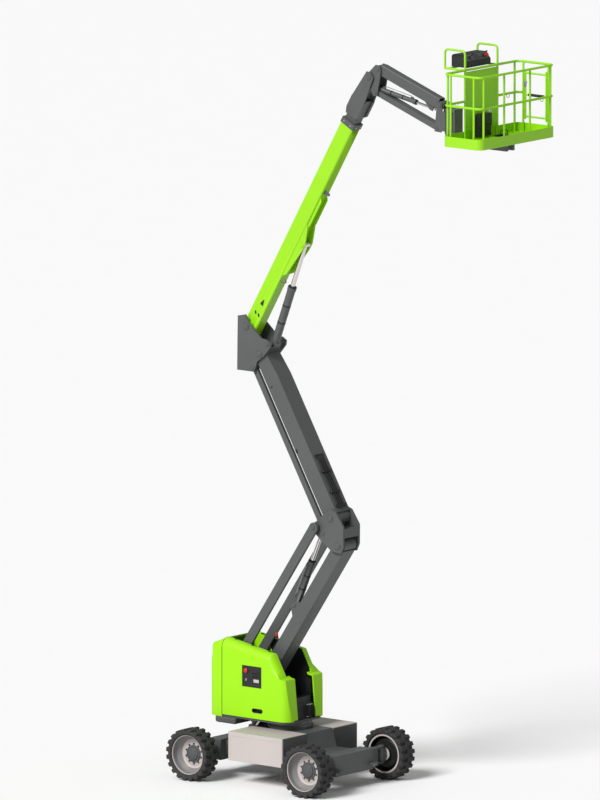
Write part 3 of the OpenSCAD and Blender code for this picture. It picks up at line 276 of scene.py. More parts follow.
def drawn_in(points):
    """Points of the covers, moved in so that the side and the roof meet in a quarter round.

    A point that lies out past the roll's start to the side and up past it to the roof stands in a square
    corner. It moves towards the corner's centre until the larger of the two is its distance from there.
    """
    below = -((points[:, None, [0, 2]] - roof[:-1]) * roof_out).sum(-1)
    depth = below.min(1)
    pull = np.exp((depth[:, None] - below) / ROOF_BLEND) @ roof_out
    pull /= np.linalg.norm(pull, axis=1, keepdims=True)
    out = np.maximum(COVER_ROLL - COVER_HALF + np.abs(points[:, 1]), 0.0)
    up = np.maximum(COVER_ROLL - depth, 0.0)
    keep = np.maximum(out, up) / np.maximum(np.hypot(out, up), 1e-9)
    share = (1.0 - keep) * np.clip((points[:, 2] - ROLL_FOOT) / ROLL_FADE, 0.0, 1.0)
    move = np.stack([pull[:, 0] * up, np.sign(points[:, 1]) * out, pull[:, 1] * up], -1)
    return points - share[:, None] * move


def bisected(shape, place, normal):
    """Cuts all faces of a bmesh along a plane and keeps both sides."""
    whole = [*shape.verts, *shape.edges, *shape.faces]
    bmesh.ops.bisect_plane(shape, geom=whole, plane_co=place, plane_no=normal)


steps = COVER_ROLL * np.arange(1, STRIPS + 1) / STRIPS
cuts = [((0.0, side * (COVER_HALF - s), 0.0), (0.0, 1.0, 0.0)) for s in steps for side in (-1, 1)]
cuts += [((p[0] - s * n[0], 0.0, p[1] - s * n[1]), (n[0], 0.0, n[1]))
         for s in steps for p, n in zip(roof, roof_out)]
cuts += [((x, 0.0, 0.0), (1.0, 0.0, 0.0)) for x in CROSS_CUTS]
cuts += [((0.0, 0.0, z), (0.0, 0.0, 1.0)) for z in LEVEL_CUTS]
for node in ("hood_left", "hood_right", "tail_cover"):
    made = softened(node, COVER_EDGE, lime_moulding, segments=3)
    rolled = bpy.data.meshes.new_from_object(made.evaluated_get(bpy.context.evaluated_depsgraph_get()))
    made.modifiers.clear()
    shape = bmesh.new()
    shape.from_mesh(rolled)
    for place, normal in cuts:
        bisected(shape, place, normal)
    shape.to_mesh(rolled)
    shape.free()
    points = np.empty(3 * len(rolled.vertices))
    rolled.vertices.foreach_get("co", points)
    rolled.vertices.foreach_set("co", drawn_in(points.reshape(-1, 3)).ravel())
    rolled.polygons.foreach_set("use_smooth", [True] * len(rolled.polygons))
    rolled.set_sharp_from_angle(angle=CREASE)
    made.data = rolled
    made.modifiers.new("flat_faces_first", "WEIGHTED_NORMAL").keep_sharp = True

# Lug tyres: moulded rubber, dull and almost black, each one closed surface pressed on its rim.
# A plain carcass section is blended into a lug section round the tyre. Two staggered rows of slanted lugs
# overlap at the middle and run down over the shoulders.
X, Y, Z = np.eye(3)
LUGS = 20
SAMPLES = 24
LUG_SLANT = 0.9
LUG_START = 0.05
LUG_HALF = 0.33
LUG_FLANK = 0.09
LUG_OVERLAP = 0.024
LUG_END = 0.004
GROOVE_RADIUS = 0.374
LUG_RADIUS = 0.400
WHEELS = ("front_left", "front_right", "rear_left", "rear_right")
tyre_rubber = coated("moulded_tyre_rubber", "#2C2C2C", 0.82, 0.12, 5.0, 0.0004)


def quads(rows, cols, wrap_rows=False, wrap_cols=False):
    """Face indices of a grid of points, row after row, closed round where asked."""
    r, c = np.meshgrid(np.arange(rows if wrap_rows else rows - 1),
                       np.arange(cols if wrap_cols else cols - 1), indexing="ij")
    r2, c2 = (r + 1) % rows, (c + 1) % cols
    return np.stack([r * cols + c, r * cols + c2, r2 * cols + c2, r2 * cols + c], -1).reshape(-1, 4).tolist()


def skin(points, closed=False):
    """A shape from rings of points (rows, cols, 3): the rings are round, the ends capped unless closed."""
    rows, cols = points.shape[:2]
    faces = quads(rows, cols, closed, True)
    if not closed:
        last = (rows - 1) * cols
        faces += [list(range(cols)), list(range(last, last + cols))]
    return points.reshape(-1, 3), faces


def merge(*shapes):
    """Several shapes as one."""
    starts = np.cumsum([0] + [len(s[0]) for s in shapes[:-1]])
    faces = [[i + int(start) for i in face] for s, start in zip(shapes, starts) for face in s[1]]
    return np.concatenate([s[0] for s in shapes]), faces


def put(shape, places, z_axis, x_hint=Z):
    """Copies of a shape with its +Z along z_axis and its +X near x_hint, at each of the places."""
    z = np.asarray(z_axis, float) / np.linalg.norm(z_axis)
    x = np.asarray(x_hint, float) - np.dot(x_hint, z) * z
    x /= np.linalg.norm(x)
    points = np.asarray(shape[0]) @ np.stack([x, np.cross(z, x), z])
    return merge(*[(points + np.asarray(p, float), shape[1]) for p in np.atleast_2d(places)])


def piece(name, shape, material, body, sharp=35.0):
    """A finished piece that moves with a body of the frame."""
    made = mesh_object(name, shape, material, sharp)
    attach(made, body)
    return made


wall = np.array([[0.120, 0.3052], [0.132, 0.309], [0.1385, 0.316], [0.1415, 0.3185], [0.1435, 0.3225],
                 [0.1420, 0.3265], [0.1455, 0.336], [0.1460, 0.344]])
bare_shoulder = np.array([[0.1445, 0.351], [0.1415, 0.359], [0.137, 0.3665], [0.131, 0.3715],
                          [0.122, GROOVE_RADIUS]])
lug_shoulder = np.array([[0.150, 0.350], [0.150, 0.364], [0.150, 0.378], [0.1494, 0.391], [0.1455, 0.3992]])
crown = np.array([0.098, 0.074, 0.050, 0.030, LUG_OVERLAP, 0.020, 0.010])


def tyre_section(shoulder, radius):
    """A section from seat to seat: wall, shoulder and crown, a middle point and the half mirrored."""
    half = np.concatenate([wall, shoulder, np.stack([crown, np.full(len(crown), radius)], -1)])
    return np.concatenate([half * [-1, 1], [[0.0, radius]], half[::-1]])


carcass = tyre_section(bare_shoulder, GROOVE_RADIUS)
lugged = tyre_section(lug_shoulder, LUG_RADIUS)
turn = np.linspace(0.0, 2 * math.pi, LUGS * SAMPLES, endpoint=False)[:, None]
across = lugged[None, :, 0]
lugs = []
for row, stagger in ((-1, 0.0), (1, 0.5)):
    phase = turn * LUGS / (2 * math.pi) - stagger - LUG_SLANT * np.abs(across) + LUG_START
    tooth = np.clip((LUG_HALF - np.abs(phase - np.round(phase))) / LUG_FLANK, 0.0, 1.0)
    lugs.append(tooth * np.clip((LUG_OVERLAP + row * across) / LUG_END, 0.0, 1.0))
share = np.maximum(*lugs)[..., None]
section = carcass * (1.0 - share) + lugged * share
tyre_points = np.stack([section[..., 1] * np.cos(turn), section[..., 1] * np.sin(turn), section[..., 0]], -1)
tyre_shape = skin(tyre_points, closed=True)
for name in WHEELS:
    centre = pin[name + "_spin"]
    made = piece("tyre_" + name + "_rubber", put(tyre_shape, centre, np.sign(centre[1]) * Y), tyre_rubber,
                 name + "_wheel", sharp=50.0)
    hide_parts("tyre_" + name)

# Wheels: a deep steel rim, pressed and sprayed pale, with a rolled lip, a grey inner band of painted shade
# and a black back.
# A cast drive hub is screwed into its middle with two rings of screws. Ten nuts hold the rim, and a valve
# stands near the edge.
NUTS, NUT_CIRCLE, NUT_SEAT = 10, 0.152, -0.0405
HUB_SCREWS, SCREW_CIRCLE, SCREW_SEAT = 12, 0.114, -0.018
CAP_SCREWS, CAP_CIRCLE, CAP_SEAT = 6, 0.072, 0.0
SCREW_START = 0.2
RIM_SIDES = 72
# Painted shade: this grey goes on a band over the pale barrel's inner slope and darkens it as if it lay in
# shadow.
rim_painted_shade_grey = coated("painted_shade_rim_grey", "#7E7C7B", 0.42, 0.03, 9.0, 0.00012)


def lathe(profile, sides=32, closed=False):
    """A turned piece about +Z from (radius, height) points; closed joins the profile into a ring."""
    profile = np.asarray(profile, float)
    turn = np.linspace(0.0, 2 * math.pi, sides, endpoint=False)
    rings = np.stack([profile[:, :1] * np.cos(turn), profile[:, :1] * np.sin(turn),
                      np.repeat(profile[:, 1:], sides, axis=1)], -1)
    return skin(rings, closed)


def curve(knots, count=40):
    """A smooth path of count points through the knots.

    Each stretch is a cubic, and its slope at a knot is half the step from the knot before to the one after.
    """
    k = np.asarray(knots, float)
    k = np.concatenate([2 * k[:1] - k[1:2], k, 2 * k[-1:] - k[-2:-1]])
    t = np.linspace(0.0, len(knots) - 1 - 1e-9, count)
    i = t.astype(int)
    f = (t - i)[:, None]
    a, b, c, d = k[i], k[i + 1], k[i + 2], k[i + 3]
    square, cube = 2 * a - 5 * b + 4 * c - d, 3 * b - a - 3 * c + d
    return 0.5 * (2 * b + (c - a) * f + square * f ** 2 + cube * f ** 3)


def tube(path, radius, sides=12, across=Y):
    """A round bar or hose: circles square to a path that never runs along the across direction."""
    path = np.asarray(path, float)
    along = np.gradient(path, axis=0)
    along /= np.linalg.norm(along, axis=1, keepdims=True)
    side = np.cross(along, across)
    side /= np.linalg.norm(side, axis=1, keepdims=True)
    turn = np.linspace(0.0, 2 * math.pi, sides, endpoint=False)[None, :, None]
    reach = np.cos(turn) * side[:, None] + np.sin(turn) * np.cross(side, along)[:, None]
    return skin(path[:, None] + radius * reach)


def bolt(size):
    """A hexagon bolt head of the given thread size on a washer, standing on z 0."""
    washer = lathe([[1.05 * size, 0.0], [1.05 * size, 0.18 * size], [0.98 * size, 0.22 * size]], 20)
    head = lathe([[0.9 * size, 0.2 * size], [0.9 * size, 0.74 * size], [0.76 * size, 0.86 * size]], 6)
    return merge(washer, head)


def ring_of(count, radius, height, start=0.0):
    """Places evenly round +Z at a radius and a height, the first at the angle start."""
    turn = np.linspace(0.0, 2 * math.pi, count, endpoint=False) + start
    return np.stack([radius * np.cos(turn), radius * np.sin(turn), np.full(count, height)], -1)


rim_profile = [[0.036, -0.109], [0.104, -0.109], [0.104, -0.066], [0.212, -0.066], [0.274, -0.012],
               [0.274, -0.117], [0.302, -0.117], [0.3045, -0.114], [0.3045, 0.112], [0.3035, 0.117],
               [0.3005, 0.1195], [0.2965, 0.1185], [0.2935, 0.114], [0.2915, 0.106], [0.291, 0.040],
               [0.2885, 0.028], [0.282, 0.018], [0.226, -0.034], [0.217, -0.0415], [0.206, -0.0445],
               [0.178, -0.0445], [0.174, -0.042], [0.170, -0.040], [0.104, -0.040], [0.104, -0.050],
               [0.036, -0.050]]
# The band is a thin shell over the barrel's inner slope that carries the painted shade.
painted_shade_profile = [[0.2905, 0.104], [0.2895, 0.104], [0.2893, 0.041], [0.2868, 0.0288], [0.2808, 0.0192],
                [0.2250, -0.0325], [0.2258, -0.0333], [0.2815, 0.0184], [0.2878, 0.0282], [0.2903, 0.041]]
back_profile = [[0.106, -0.1095], [0.106, -0.0675], [0.2130, -0.0675], [0.2735, -0.0130], [0.2735, -0.1175],
                [0.2745, -0.1175], [0.2745, -0.0110], [0.2125, -0.0660], [0.104, -0.0660], [0.104, -0.1095]]
hub_profile = [[0.128, -0.046], [0.132, -0.038], [0.132, -0.022], [0.126, -0.017], [0.100, -0.016],
               [0.096, -0.003], [0.090, 0.001], [0.060, 0.001], [0.058, 0.005], [0.054, 0.007],
               [0.020, 0.007]]
valve_path = [[0.262, 0, -0.005], [0.262, 0, 0.012], [0.268, 0, 0.034], [0.272, 0, 0.048]]
rim_shape = lathe(rim_profile, RIM_SIDES, closed=True)
painted_shade_shape = lathe(painted_shade_profile, RIM_SIDES, closed=True)
back_shape = lathe(back_profile, RIM_SIDES, closed=True)
hub_screws = put(bolt(0.010), ring_of(HUB_SCREWS, SCREW_CIRCLE, SCREW_SEAT, SCREW_START), Z, X)
hub_shape = merge(lathe(hub_profile, 40), hub_screws)
nut = merge(lathe([[0.017, 0.0], [0.014, 0.005]], 20),
            lathe([[0.0125, 0.004], [0.0125, 0.016], [0.009, 0.021]], 6))
nut_shape = merge(put(nut, ring_of(NUTS, NUT_CIRCLE, NUT_SEAT), Z, X),
                  put(bolt(0.008), ring_of(CAP_SCREWS, CAP_CIRCLE, CAP_SEAT, SCREW_START), Z, X),
                  tube(curve(valve_path, 10), 0.0045))
for name in WHEELS:
    centre, body = pin[name + "_spin"], name + "_wheel"
    axis = np.sign(centre[1]) * Y
    made = piece("rim_" + name + "_pressing", put(rim_shape, centre, axis), pale_enamel, body)
    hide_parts("rim_" + name)
    # The grey band is painted shade on the barrel's inner slope.
    piece("rim_shade_band_" + name, put(painted_shade_shape, centre, axis), rim_painted_shade_grey, body)
    piece("rim_back_" + name, put(back_shape, centre, axis), black_enamel, body)
    piece("hub_" + name, put(hub_shape, centre, axis), cast_grey, body)
    piece("wheel_nuts_" + name, put(nut_shape, centre, axis), cast_grey, body)

# Slewing gear and chassis fittings: a cast steel ring with its teeth outside, bolted on the chassis.
# Flanged caps with grease nipples close the kingpins, and bright zinc-plated nuts lock the track rod's ends.
GEAR_TEETH = 104
KINGPIN_TOP = 0.130
TRACK_ROD_X, TRACK_ROD_Z = 0.94, 0.268
zinc_steel = coated("zinc_plated_steel", "#B9BCBF", 0.34, 0.05, 4.0, 0.00008, metallic=1.0)
turn = np.linspace(0.0, 2 * math.pi, 4 * GEAR_TEETH, endpoint=False)
tooth = np.tile([0.0, 1.0, 1.0, 0.0], GEAR_TEETH)
gear_rows = [(0.30, 0.826, 0.0), (0.336, 0.826, 0.007), (0.339, 0.829, 0.010), (0.339, 0.866, 0.010),
             (0.336, 0.869, 0.007), (0.30, 0.869, 0.0)]
root, height, reach = np.array(gear_rows).T[..., None]
gear_radius = root + reach * tooth
gear_rings = np.stack([gear_radius * np.cos(turn), gear_radius * np.sin(turn),
                       np.broadcast_to(height, gear_radius.shape)], -1)
piece("slew_gear", skin(gear_rings, closed=True), cast_grey, "chassis")
kingpin_tops = [pin[name] + KINGPIN_TOP * Z for name in ("steer_right", "steer_left")]
kingpin_cap = merge(lathe([[0.046, 0.0], [0.046, 0.009], [0.042, 0.013], [0.012, 0.014]]),
                    lathe([[0.006, 0.013], [0.006, 0.020], [0.004, 0.026]], 6))
piece("kingpin_caps", put(kingpin_cap, kingpin_tops, Z, X), grey_enamel, "chassis")
rod_nut = lathe([[0.024, 0.0], [0.028, 0.003], [0.028, 0.042], [0.024, 0.045]], 6)
nut_places = [[TRACK_ROD_X, y, TRACK_ROD_Z] for y in (-0.70, 0.655)]
piece("track_rod_nuts", put(rod_nut, nut_places, Y), zinc_steel, "track_rod")

# Cover fittings: black steel hinges along the inner top edges, their leaves fixed to the hoods.
# A moulded black liner edges the hand slot in the right hood, and a moulded grille of eight slats is
# fixed to the tail.
HINGE_STARTS = np.array([[0.12], [0.45], [0.78]])
KNUCKLE_STEP = 0.047
LEAF_SHIFT, LEAF_OUT = 0.0225, 0.020
SLOT_DEPTH = 0.040
SLATS, SLAT_STEP, SLAT_FOOT, SLAT_FACE = 8, 0.042, 1.26, -1.226


def rounded(width, height, corner, steps=5):
    """Outline of a rectangle about the origin, anticlockwise, with a quarter circle at each corner."""
    turn = np.linspace(0.0, math.pi / 2, steps) + np.arange(4)[:, None] * math.pi / 2
    middle = np.array([[1, 1], [-1, 1], [-1, -1], [1, -1]]) * [width / 2 - corner, height / 2 - corner]
    return (middle[:, None] + corner * np.stack([np.cos(turn), np.sin(turn)], -1)).reshape(-1, 2)


def plate(outline, depth, edge=0.002):
    """A flat piece from z 0 up to depth, cut to an anticlockwise outline that draws in at both faces."""
    outline = np.asarray(outline, float)
    run = np.roll(outline, -1, 0) - np.roll(outline, 1, 0)
    outward = np.stack([run[:, 1], -run[:, 0]], -1)
    outward /= np.linalg.norm(outward, axis=1, keepdims=True)
    inset = edge * np.array([1.0, 0.3, 0.0, 0.0, 0.3, 1.0])
    height = np.array([0.0, 0.3 * edge, edge, depth - edge, depth - 0.3 * edge, depth])
    flat = outline - inset[:, None, None] * outward
    return skin(np.concatenate([flat, np.repeat(height[:, None, None], len(outline), 1)], -1))


hinge_up = roof_out[2, 0] * X + roof_out[2, 1] * Z
hinge_run = roof_out[2, 1] * X - roof_out[2, 0] * Z
knuckle = lathe([[0.006, 0.0], [0.0075, 0.0015], [0.0075, 0.0435], [0.006, 0.045]], 16)
leaf = plate(rounded(0.045, 0.030, 0.004), 0.003, 0.001)
for side, hand in ((1, "left"), (-1, "right")):
    hood = hand + "_hood"
    starts = pin["hood_" + hand + "_lift"] + HINGE_STARTS * hinge_run
    leaves = starts + LEAF_SHIFT * hinge_run + side * LEAF_OUT * Y
    hinges = merge(put(knuckle, starts, hinge_run), put(leaf, leaves, hinge_up, hinge_run))
    piece(hood + "_hinges", hinges, black_enamel, hood)
    piece(hood + "_hinge_eyes", put(knuckle, starts + KNUCKLE_STEP * hinge_run, hinge_run), black_enamel,
          "turret")
slot_mouth = rounded(0.208, 0.068, 0.0339, 9)
slot_throat = rounded(0.190, 0.050, 0.0249, 9)
slot_rows = [(slot_mouth, -0.001), (slot_mouth, 0.002), (slot_mouth * 0.985, 0.004),
             (slot_throat * 1.01, 0.004), (slot_throat, 0.001), (slot_throat, -SLOT_DEPTH),
             (slot_throat * 1.03, -SLOT_DEPTH), (slot_throat * 1.03, -0.001)]
slot_rings = np.stack([np.concatenate([o, np.full((len(o), 1), z)], 1) for o, z in slot_rows])
slot_floor = put(plate(slot_throat * 1.02, 0.003), -(SLOT_DEPTH + 0.002) * Z, Z, X)
slot_liner = merge(skin(slot_rings, closed=True), slot_floor)
piece("hand_slot_liner", put(slot_liner, [-0.26, -COVER_HALF, 1.09], -Y, X), black_plastic, "right_hood")
slats = SLAT_FACE * X + (SLAT_FOOT + SLAT_STEP * np.arange(SLATS))[:, None] * Z
grille = merge(put(plate(rounded(0.44, 0.40, 0.03), 0.005), [-1.2195, 0.0, 1.407], -X, Y),
               put(plate(rounded(0.38, 0.020, 0.008), 0.006), slats, -X - 0.55 * Z, Y))
piece("tail_grille", grille, black_plastic, "turret")

# Seam and inner walls: a dull black rubber seal lies in the joint between the tail and each hood.
# The inner walls are sheet steel, lime on their rear half up to a slanted line and black in front of it.
SEAM_X, SEAM_SIDE, SEAM_TOP_SIDE = -0.952, 0.4785, 0.4760
SEAM_FOOT, SEAM_TOP, SEAM_END = 0.965, 2.1335, 0.31
LIME_LINE = 0.06
LIME_LEAN = np.array([1.0, 0.0, 0.35])
hose_rubber = coated("black_hose_rubber", "#17171A", 0.68, 0.1, 3.0, 0.0003)
for side, hand in ((-1, "right"), (1, "left")):
    rise = np.linspace([SEAM_X, side * SEAM_SIDE, SEAM_FOOT], [SEAM_X, side * SEAM_SIDE, SEAM_TOP], 40)
    over = np.linspace([SEAM_X, side * SEAM_TOP_SIDE, SEAM_TOP], [SEAM_X, side * SEAM_END, SEAM_TOP], 12)
    seal = tube(drawn_in(np.concatenate([rise, over])), 0.0055, 8, across=X)
    piece("seam_seal_" + hand, seal, hose_rubber, "turret")
inner = bpy.data.objects["inner_panels_finish"].data
walls = bmesh.new()
walls.from_mesh(inner)
bisected(walls, LIME_LINE * X, LIME_LEAN)
walls.to_mesh(inner)
walls.free()
inner.materials.append(lime_moulding)
centres = np.empty(3 * len(inner.polygons))
inner.polygons.foreach_get("center", centres)
inner.polygons.foreach_set("material_index", (centres.reshape(-1, 3) @ LIME_LEAN < LIME_LINE).astype(int))

# Beacon: a red moulded lens, smooth and glossy, with fine ribs round it that spread the light.
# It is clipped on a black moulded base, which a thin post carries above the covers.
RIB_STEPS = 25
beacon_foot = np.array([-0.400, 0.1617, 1.40])
lens_red = coated("red_moulded_lens", "#E8391C", 0.2, 0.03, 8.0, 0.00005)
climb = np.linspace(0.0, 1.0, RIB_STEPS)
ripple = 0.0007 * np.where(np.arange(RIB_STEPS) % 2, 1.0, -1.0)
lens = np.stack([0.0265 - 0.005 * climb + ripple, 0.732 + 0.055 * climb], -1)
lens = np.concatenate([lens, [[0.0195, 0.7925], [0.015, 0.797], [0.008, 0.7992], [0.002, 0.8]]])
made = piece("beacon_lens", put(lathe(lens, 40), beacon_foot, Z, X), lens_red, "turret")
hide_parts("beacon")
post = lathe([[0.008, 0.0], [0.008, 0.716], [0.026, 0.719], [0.030, 0.722], [0.030, 0.730], [0.027, 0.733]])
piece("beacon_post", put(post, beacon_foot, Z, X), black_plastic, "turret")

# Ground control panel: a black box let into the right hood, with a glossy red stop button and a key switch.
# Beside them are a bare pale plate and six toggles in rubber boots, each held by a nut from behind.
BUTTON_X, STOP_Z, KEY_Z = -0.485, 1.69, 1.55
STOP_SEAT, KEY_SEAT, FACE_SEAT = -0.464, -0.4635, -0.472
button_red = coated("red_moulded_button", "#C8160F", 0.32, 0.03, 4.0, 0.00008)
toggle = merge(lathe([[0.010, 0.0], [0.010, 0.003], [0.0075, 0.006], [0.006, 0.012], [0.0035, 0.016]], 18),
               lathe([[0.003, 0.014], [0.0042, 0.024], [0.0048, 0.030], [0.003, 0.033]], 14))
mushroom = lathe([[0.021, 0.0], [0.021, 0.012], [0.033, 0.0145], [0.0365, 0.019], [0.0365, 0.024],
                  [0.031, 0.031], [0.018, 0.035], [0.004, 0.036]], 40)
key_switch = merge(lathe([[0.020, 0.0], [0.020, 0.010], [0.017, 0.014], [0.003, 0.014]], 28),
                   put(plate(rounded(0.006, 0.022, 0.002), 0.016, 0.001), 0.013 * Z, Z, X))
piece("ground_stop", put(mushroom, [BUTTON_X, STOP_SEAT, STOP_Z], -Y, X), button_red, "right_hood")
piece("ground_key", put(key_switch, [BUTTON_X, KEY_SEAT, KEY_Z], -Y, X), zinc_steel, "right_hood")
pale_plate = put(plate(rounded(0.105, 0.050, 0.006), 0.004), [-0.285, FACE_SEAT, 1.545], -Y, X)
piece("ground_plate", pale_plate, pale_enamel, "right_hood")
toggle_places = [[x, FACE_SEAT, z] for x in (-0.345, -0.305, -0.265) for z in (1.61, 1.66)]
piece("ground_toggles", put(toggle, toggle_places, -Y, X), black_plastic, "right_hood")

# Turret hoses: four short rubber hoses in front of the slewing centre, each bent between two bright unions.
# The unions are screwed into the front of the turret, one row above the other.
HOSE_X, HOSE_Z, HOSE_RISE = 0.254, 0.985, 0.185
HOSE_RADIUS = 0.008
union = merge(lathe([[0.013, 0.0], [0.013, 0.014], [0.011, 0.016]], 6),
              lathe([[0.010, 0.014], [0.010, 0.030], [0.008, 0.033]], 16))
low_ends = np.array([[HOSE_X, y, HOSE_Z] for y in (0.07, 0.105, 0.14, 0.175)])
high_ends = low_ends + HOSE_RISE * Z


def hose_loop(low, high):
    """A hose that leaves its low union forwards, bends up and comes back into its high one."""
    knots = [low + [0.030, 0, 0], low + [0.052, 0, 0.020], low + [0.060, 0, 0.092], high + [0.052, 0, -0.020],
             high + [0.030, 0, 0]]
    return tube(curve(knots, 28), HOSE_RADIUS)


loops = [hose_loop(low, high) for low, high in zip(low_ends, high_ends)]
piece("turret_hoses", merge(*loops), hose_rubber, "turret")
piece("turret_unions", put(union, np.concatenate([low_ends, high_ends]), X), zinc_steel, "turret")

# Pins: turned steel pins stand a little proud of their plates, and a flanged cap covers each end that shows.
# Three bolts hold the cap, a grease nipple is screwed into its middle, and it is painted with its arm.
# Each row gives a pin's place, how far out its cap sits, its radius and how far it stands proud.
CAP_FLANGE = 0.008
upper_head = pin["top_knuckle_level"]
riser_head = pin["mid_knuckle_level"]
jib_tip = pin["jib_end_level"]
upper_link_head = upper_head + [-0.14, 0, -0.24]
jib_bar_head = jib_tip + [-0.05, 0, -0.36]
riser_eye = riser_head + [-0.41, 0, 0.25]
lift_eye = upper_head + [0.15, 0, 0.16]
jib_eye = pin["jib_lift"] + [-0.08, 0, -0.298]


def pin_cap(radius, proud):
    """A flanged cap over a pin that stands proud of its plate, held by three bolts."""
    flange, circle, top = 1.5 * radius, 1.29 * radius, proud + 0.0025
    body = lathe([[flange, 0.0], [flange, 0.006], [flange - 0.002, CAP_FLANGE], [1.08 * radius, CAP_FLANGE],
                  [1.06 * radius, proud], [0.95 * radius, top], [0.15 * radius, top]], 36)
    turn = np.array([0.5, 2.6, 4.7])
    places = np.stack([circle * np.cos(turn), circle * np.sin(turn), np.full(3, CAP_FLANGE)], -1)
    nipple = lathe([[0.004, proud], [0.004, proud + 0.006], [0.0025, proud + 0.008]], 8)
    return merge(body, put(bolt(0.17 * radius + 0.0012), places, Z, X), nipple)


caps = {
    "turret": [(pin["riser_lift"], 0.205, 0.040, 0.0125)],
    "mid_knuckle": [(riser_head, 0.205, 0.040, 0.0125), (pin["upper_riser_turn"], 0.205, 0.040, 0.0125),
                    (pin["upper_link_turn"], 0.205, 0.025, 0.0085), (riser_eye, 0.287, 0.025, 0.0105)],
    "top_knuckle": [(upper_head, 0.205, 0.040, 0.0125), (upper_link_head, 0.205, 0.025, 0.0085),
                    (pin["boom_lift"], 0.205, 0.040, 0.0145), (lift_eye, 0.205, 0.025, 0.0105)],
    "main_boom": [(pin["lift_rod_turn"], 0.096, 0.025, 0.0085)],
    "lower_riser": [(pin["riser_barrel_turn"], 0.085, 0.025, 0.0085)],
    "fly_boom": [(pin["jib_knuckle_level"], 0.131, 0.028, 0.0085)],
    "jib_knuckle": [(pin["jib_lift"], 0.100, 0.020, 0.008), (pin["jib_bar_turn"], 0.100, 0.020, 0.008)],
    "jib_end": [(jib_tip, 0.100, 0.020, 0.008), (jib_bar_head, 0.100, 0.020, 0.008)],
}
for body, pins in caps.items():
    both = [put(pin_cap(radius, proud), [p[0], side * out, p[2]], side * Y)
            for p, out, radius, proud in pins for side in (-1, 1)]
    finish, slot = (lime_enamel, "lime_paint") if body == "main_boom" else (grey_enamel, "dark_grey_paint")
    piece("pin_caps_" + body, merge(*both), finish, body)

# Cylinders: a black gland nut closes each barrel's mouth round the rod, and two port blocks are welded on.
# A bright zinc-plated pipe runs from port to port, and two steel straps hold it to the barrel.
# Each row: base eye, rod eye, barrel length, barrel and rod radius, the pipe's side (y, up), port's setback.
rams = {
    "riser_barrel": (pin["riser_barrel_turn"], riser_eye, 0.76, 0.055, 0.032, (0, 1), 0.085),
    "lift_barrel": (lift_eye, pin["lift_rod_turn"], 0.95, 0.063, 0.036, (1, 0), 0.30),
    "jib_barrel": (jib_eye, pin["jib_rod_turn"], 0.762, 0.036, 0.021, (0, 1), 0.085),
}
STRAP_SHARES = (0.36, 0.66)
STRAP_WIDTH = 0.022
LOW_PORT = 0.13
PIPE_RADIUS = 0.006


def member(foot, degrees, s, y, up):
    """A point on an arm that starts at foot: s along it, y across, up to its upper side."""
    a = math.radians(degrees)
    return np.array([foot[0] + s * math.cos(a) - up * math.sin(a), y,
                     foot[2] + s * math.sin(a) + up * math.cos(a)])


def barrel_pipe(low, high, out, run):
    """A pipe that rises out of one port, runs along the barrel and turns down into the other."""
    knots = [low, low + 0.012 * out + 0.012 * run, low + 0.014 * out + 0.06 * run,
             high + 0.014 * out - 0.06 * run, high + 0.012 * out - 0.012 * run, high]
    return tube(curve(knots), PIPE_RADIUS)


port_block = plate(rounded(0.044, 0.034, 0.005), 0.024)
for body, (base, end, length, radius, rod, pipe_side, setback) in rams.items():
    degrees = math.degrees(math.atan2(end[2] - base[2], end[0] - base[0]))
    run = (end - base) / np.linalg.norm(end - base)
    out = member(np.zeros(3), degrees, 0.0, *pipe_side)
    gland = lathe([[rod + 0.001, 0.0], [radius + 0.001, 0.0], [radius + 0.004, 0.003],
                   [radius + 0.004, 0.014], [radius - 0.004, 0.019], [rod + 0.006, 0.019],
                   [rod + 0.003, 0.024], [rod + 0.001, 0.024]], 40, closed=True)
    strap = lathe([[radius - 0.001, 0.0], [radius + 0.002, 0.0], [radius + 0.002, STRAP_WIDTH],
                   [radius - 0.001, STRAP_WIDTH]], 40, closed=True)
    barrel_mouth = member(base, degrees, length - 0.001, 0.0, 0.0)
    strap_places = [member(base, degrees, share * length, 0.0, 0.0) for share in STRAP_SHARES]
    rings = merge(put(gland, barrel_mouth, run), put(strap, strap_places, run))
    piece(body + "_gland", rings, black_enamel, body)
    ports = [base + s * run + (radius - 0.004) * out for s in (LOW_PORT, length - setback)]
    piece(body + "_ports", put(port_block, ports, out, run), grey_enamel, body)
    pipe = barrel_pipe(ports[0] + 0.020 * out, ports[1] + 0.020 * out, out, run)
    piece(body + "_pipe", pipe, zinc_steel, body)

# Boom fittings: bright screws set the slide pads in the collar, and black plugs fill the slots at the foot.
# The two cheeks of a lime steel hose tray are welded under the boom, with a grey end tab and a bent hook.
BOOM_LEAN = 60.0
COLLAR_AT = 3.79
BOOM_SIDE, BOOM_BELLY = 0.0995, -0.124
HOOK_Y, HOOK_RADIUS = -0.086, 0.008


def on_boom(s, y, up):
    """A point on the main boom: s from its foot pin, y across, up to its upper side."""
    return member(pin["boom_lift"], BOOM_LEAN, s, y, up)


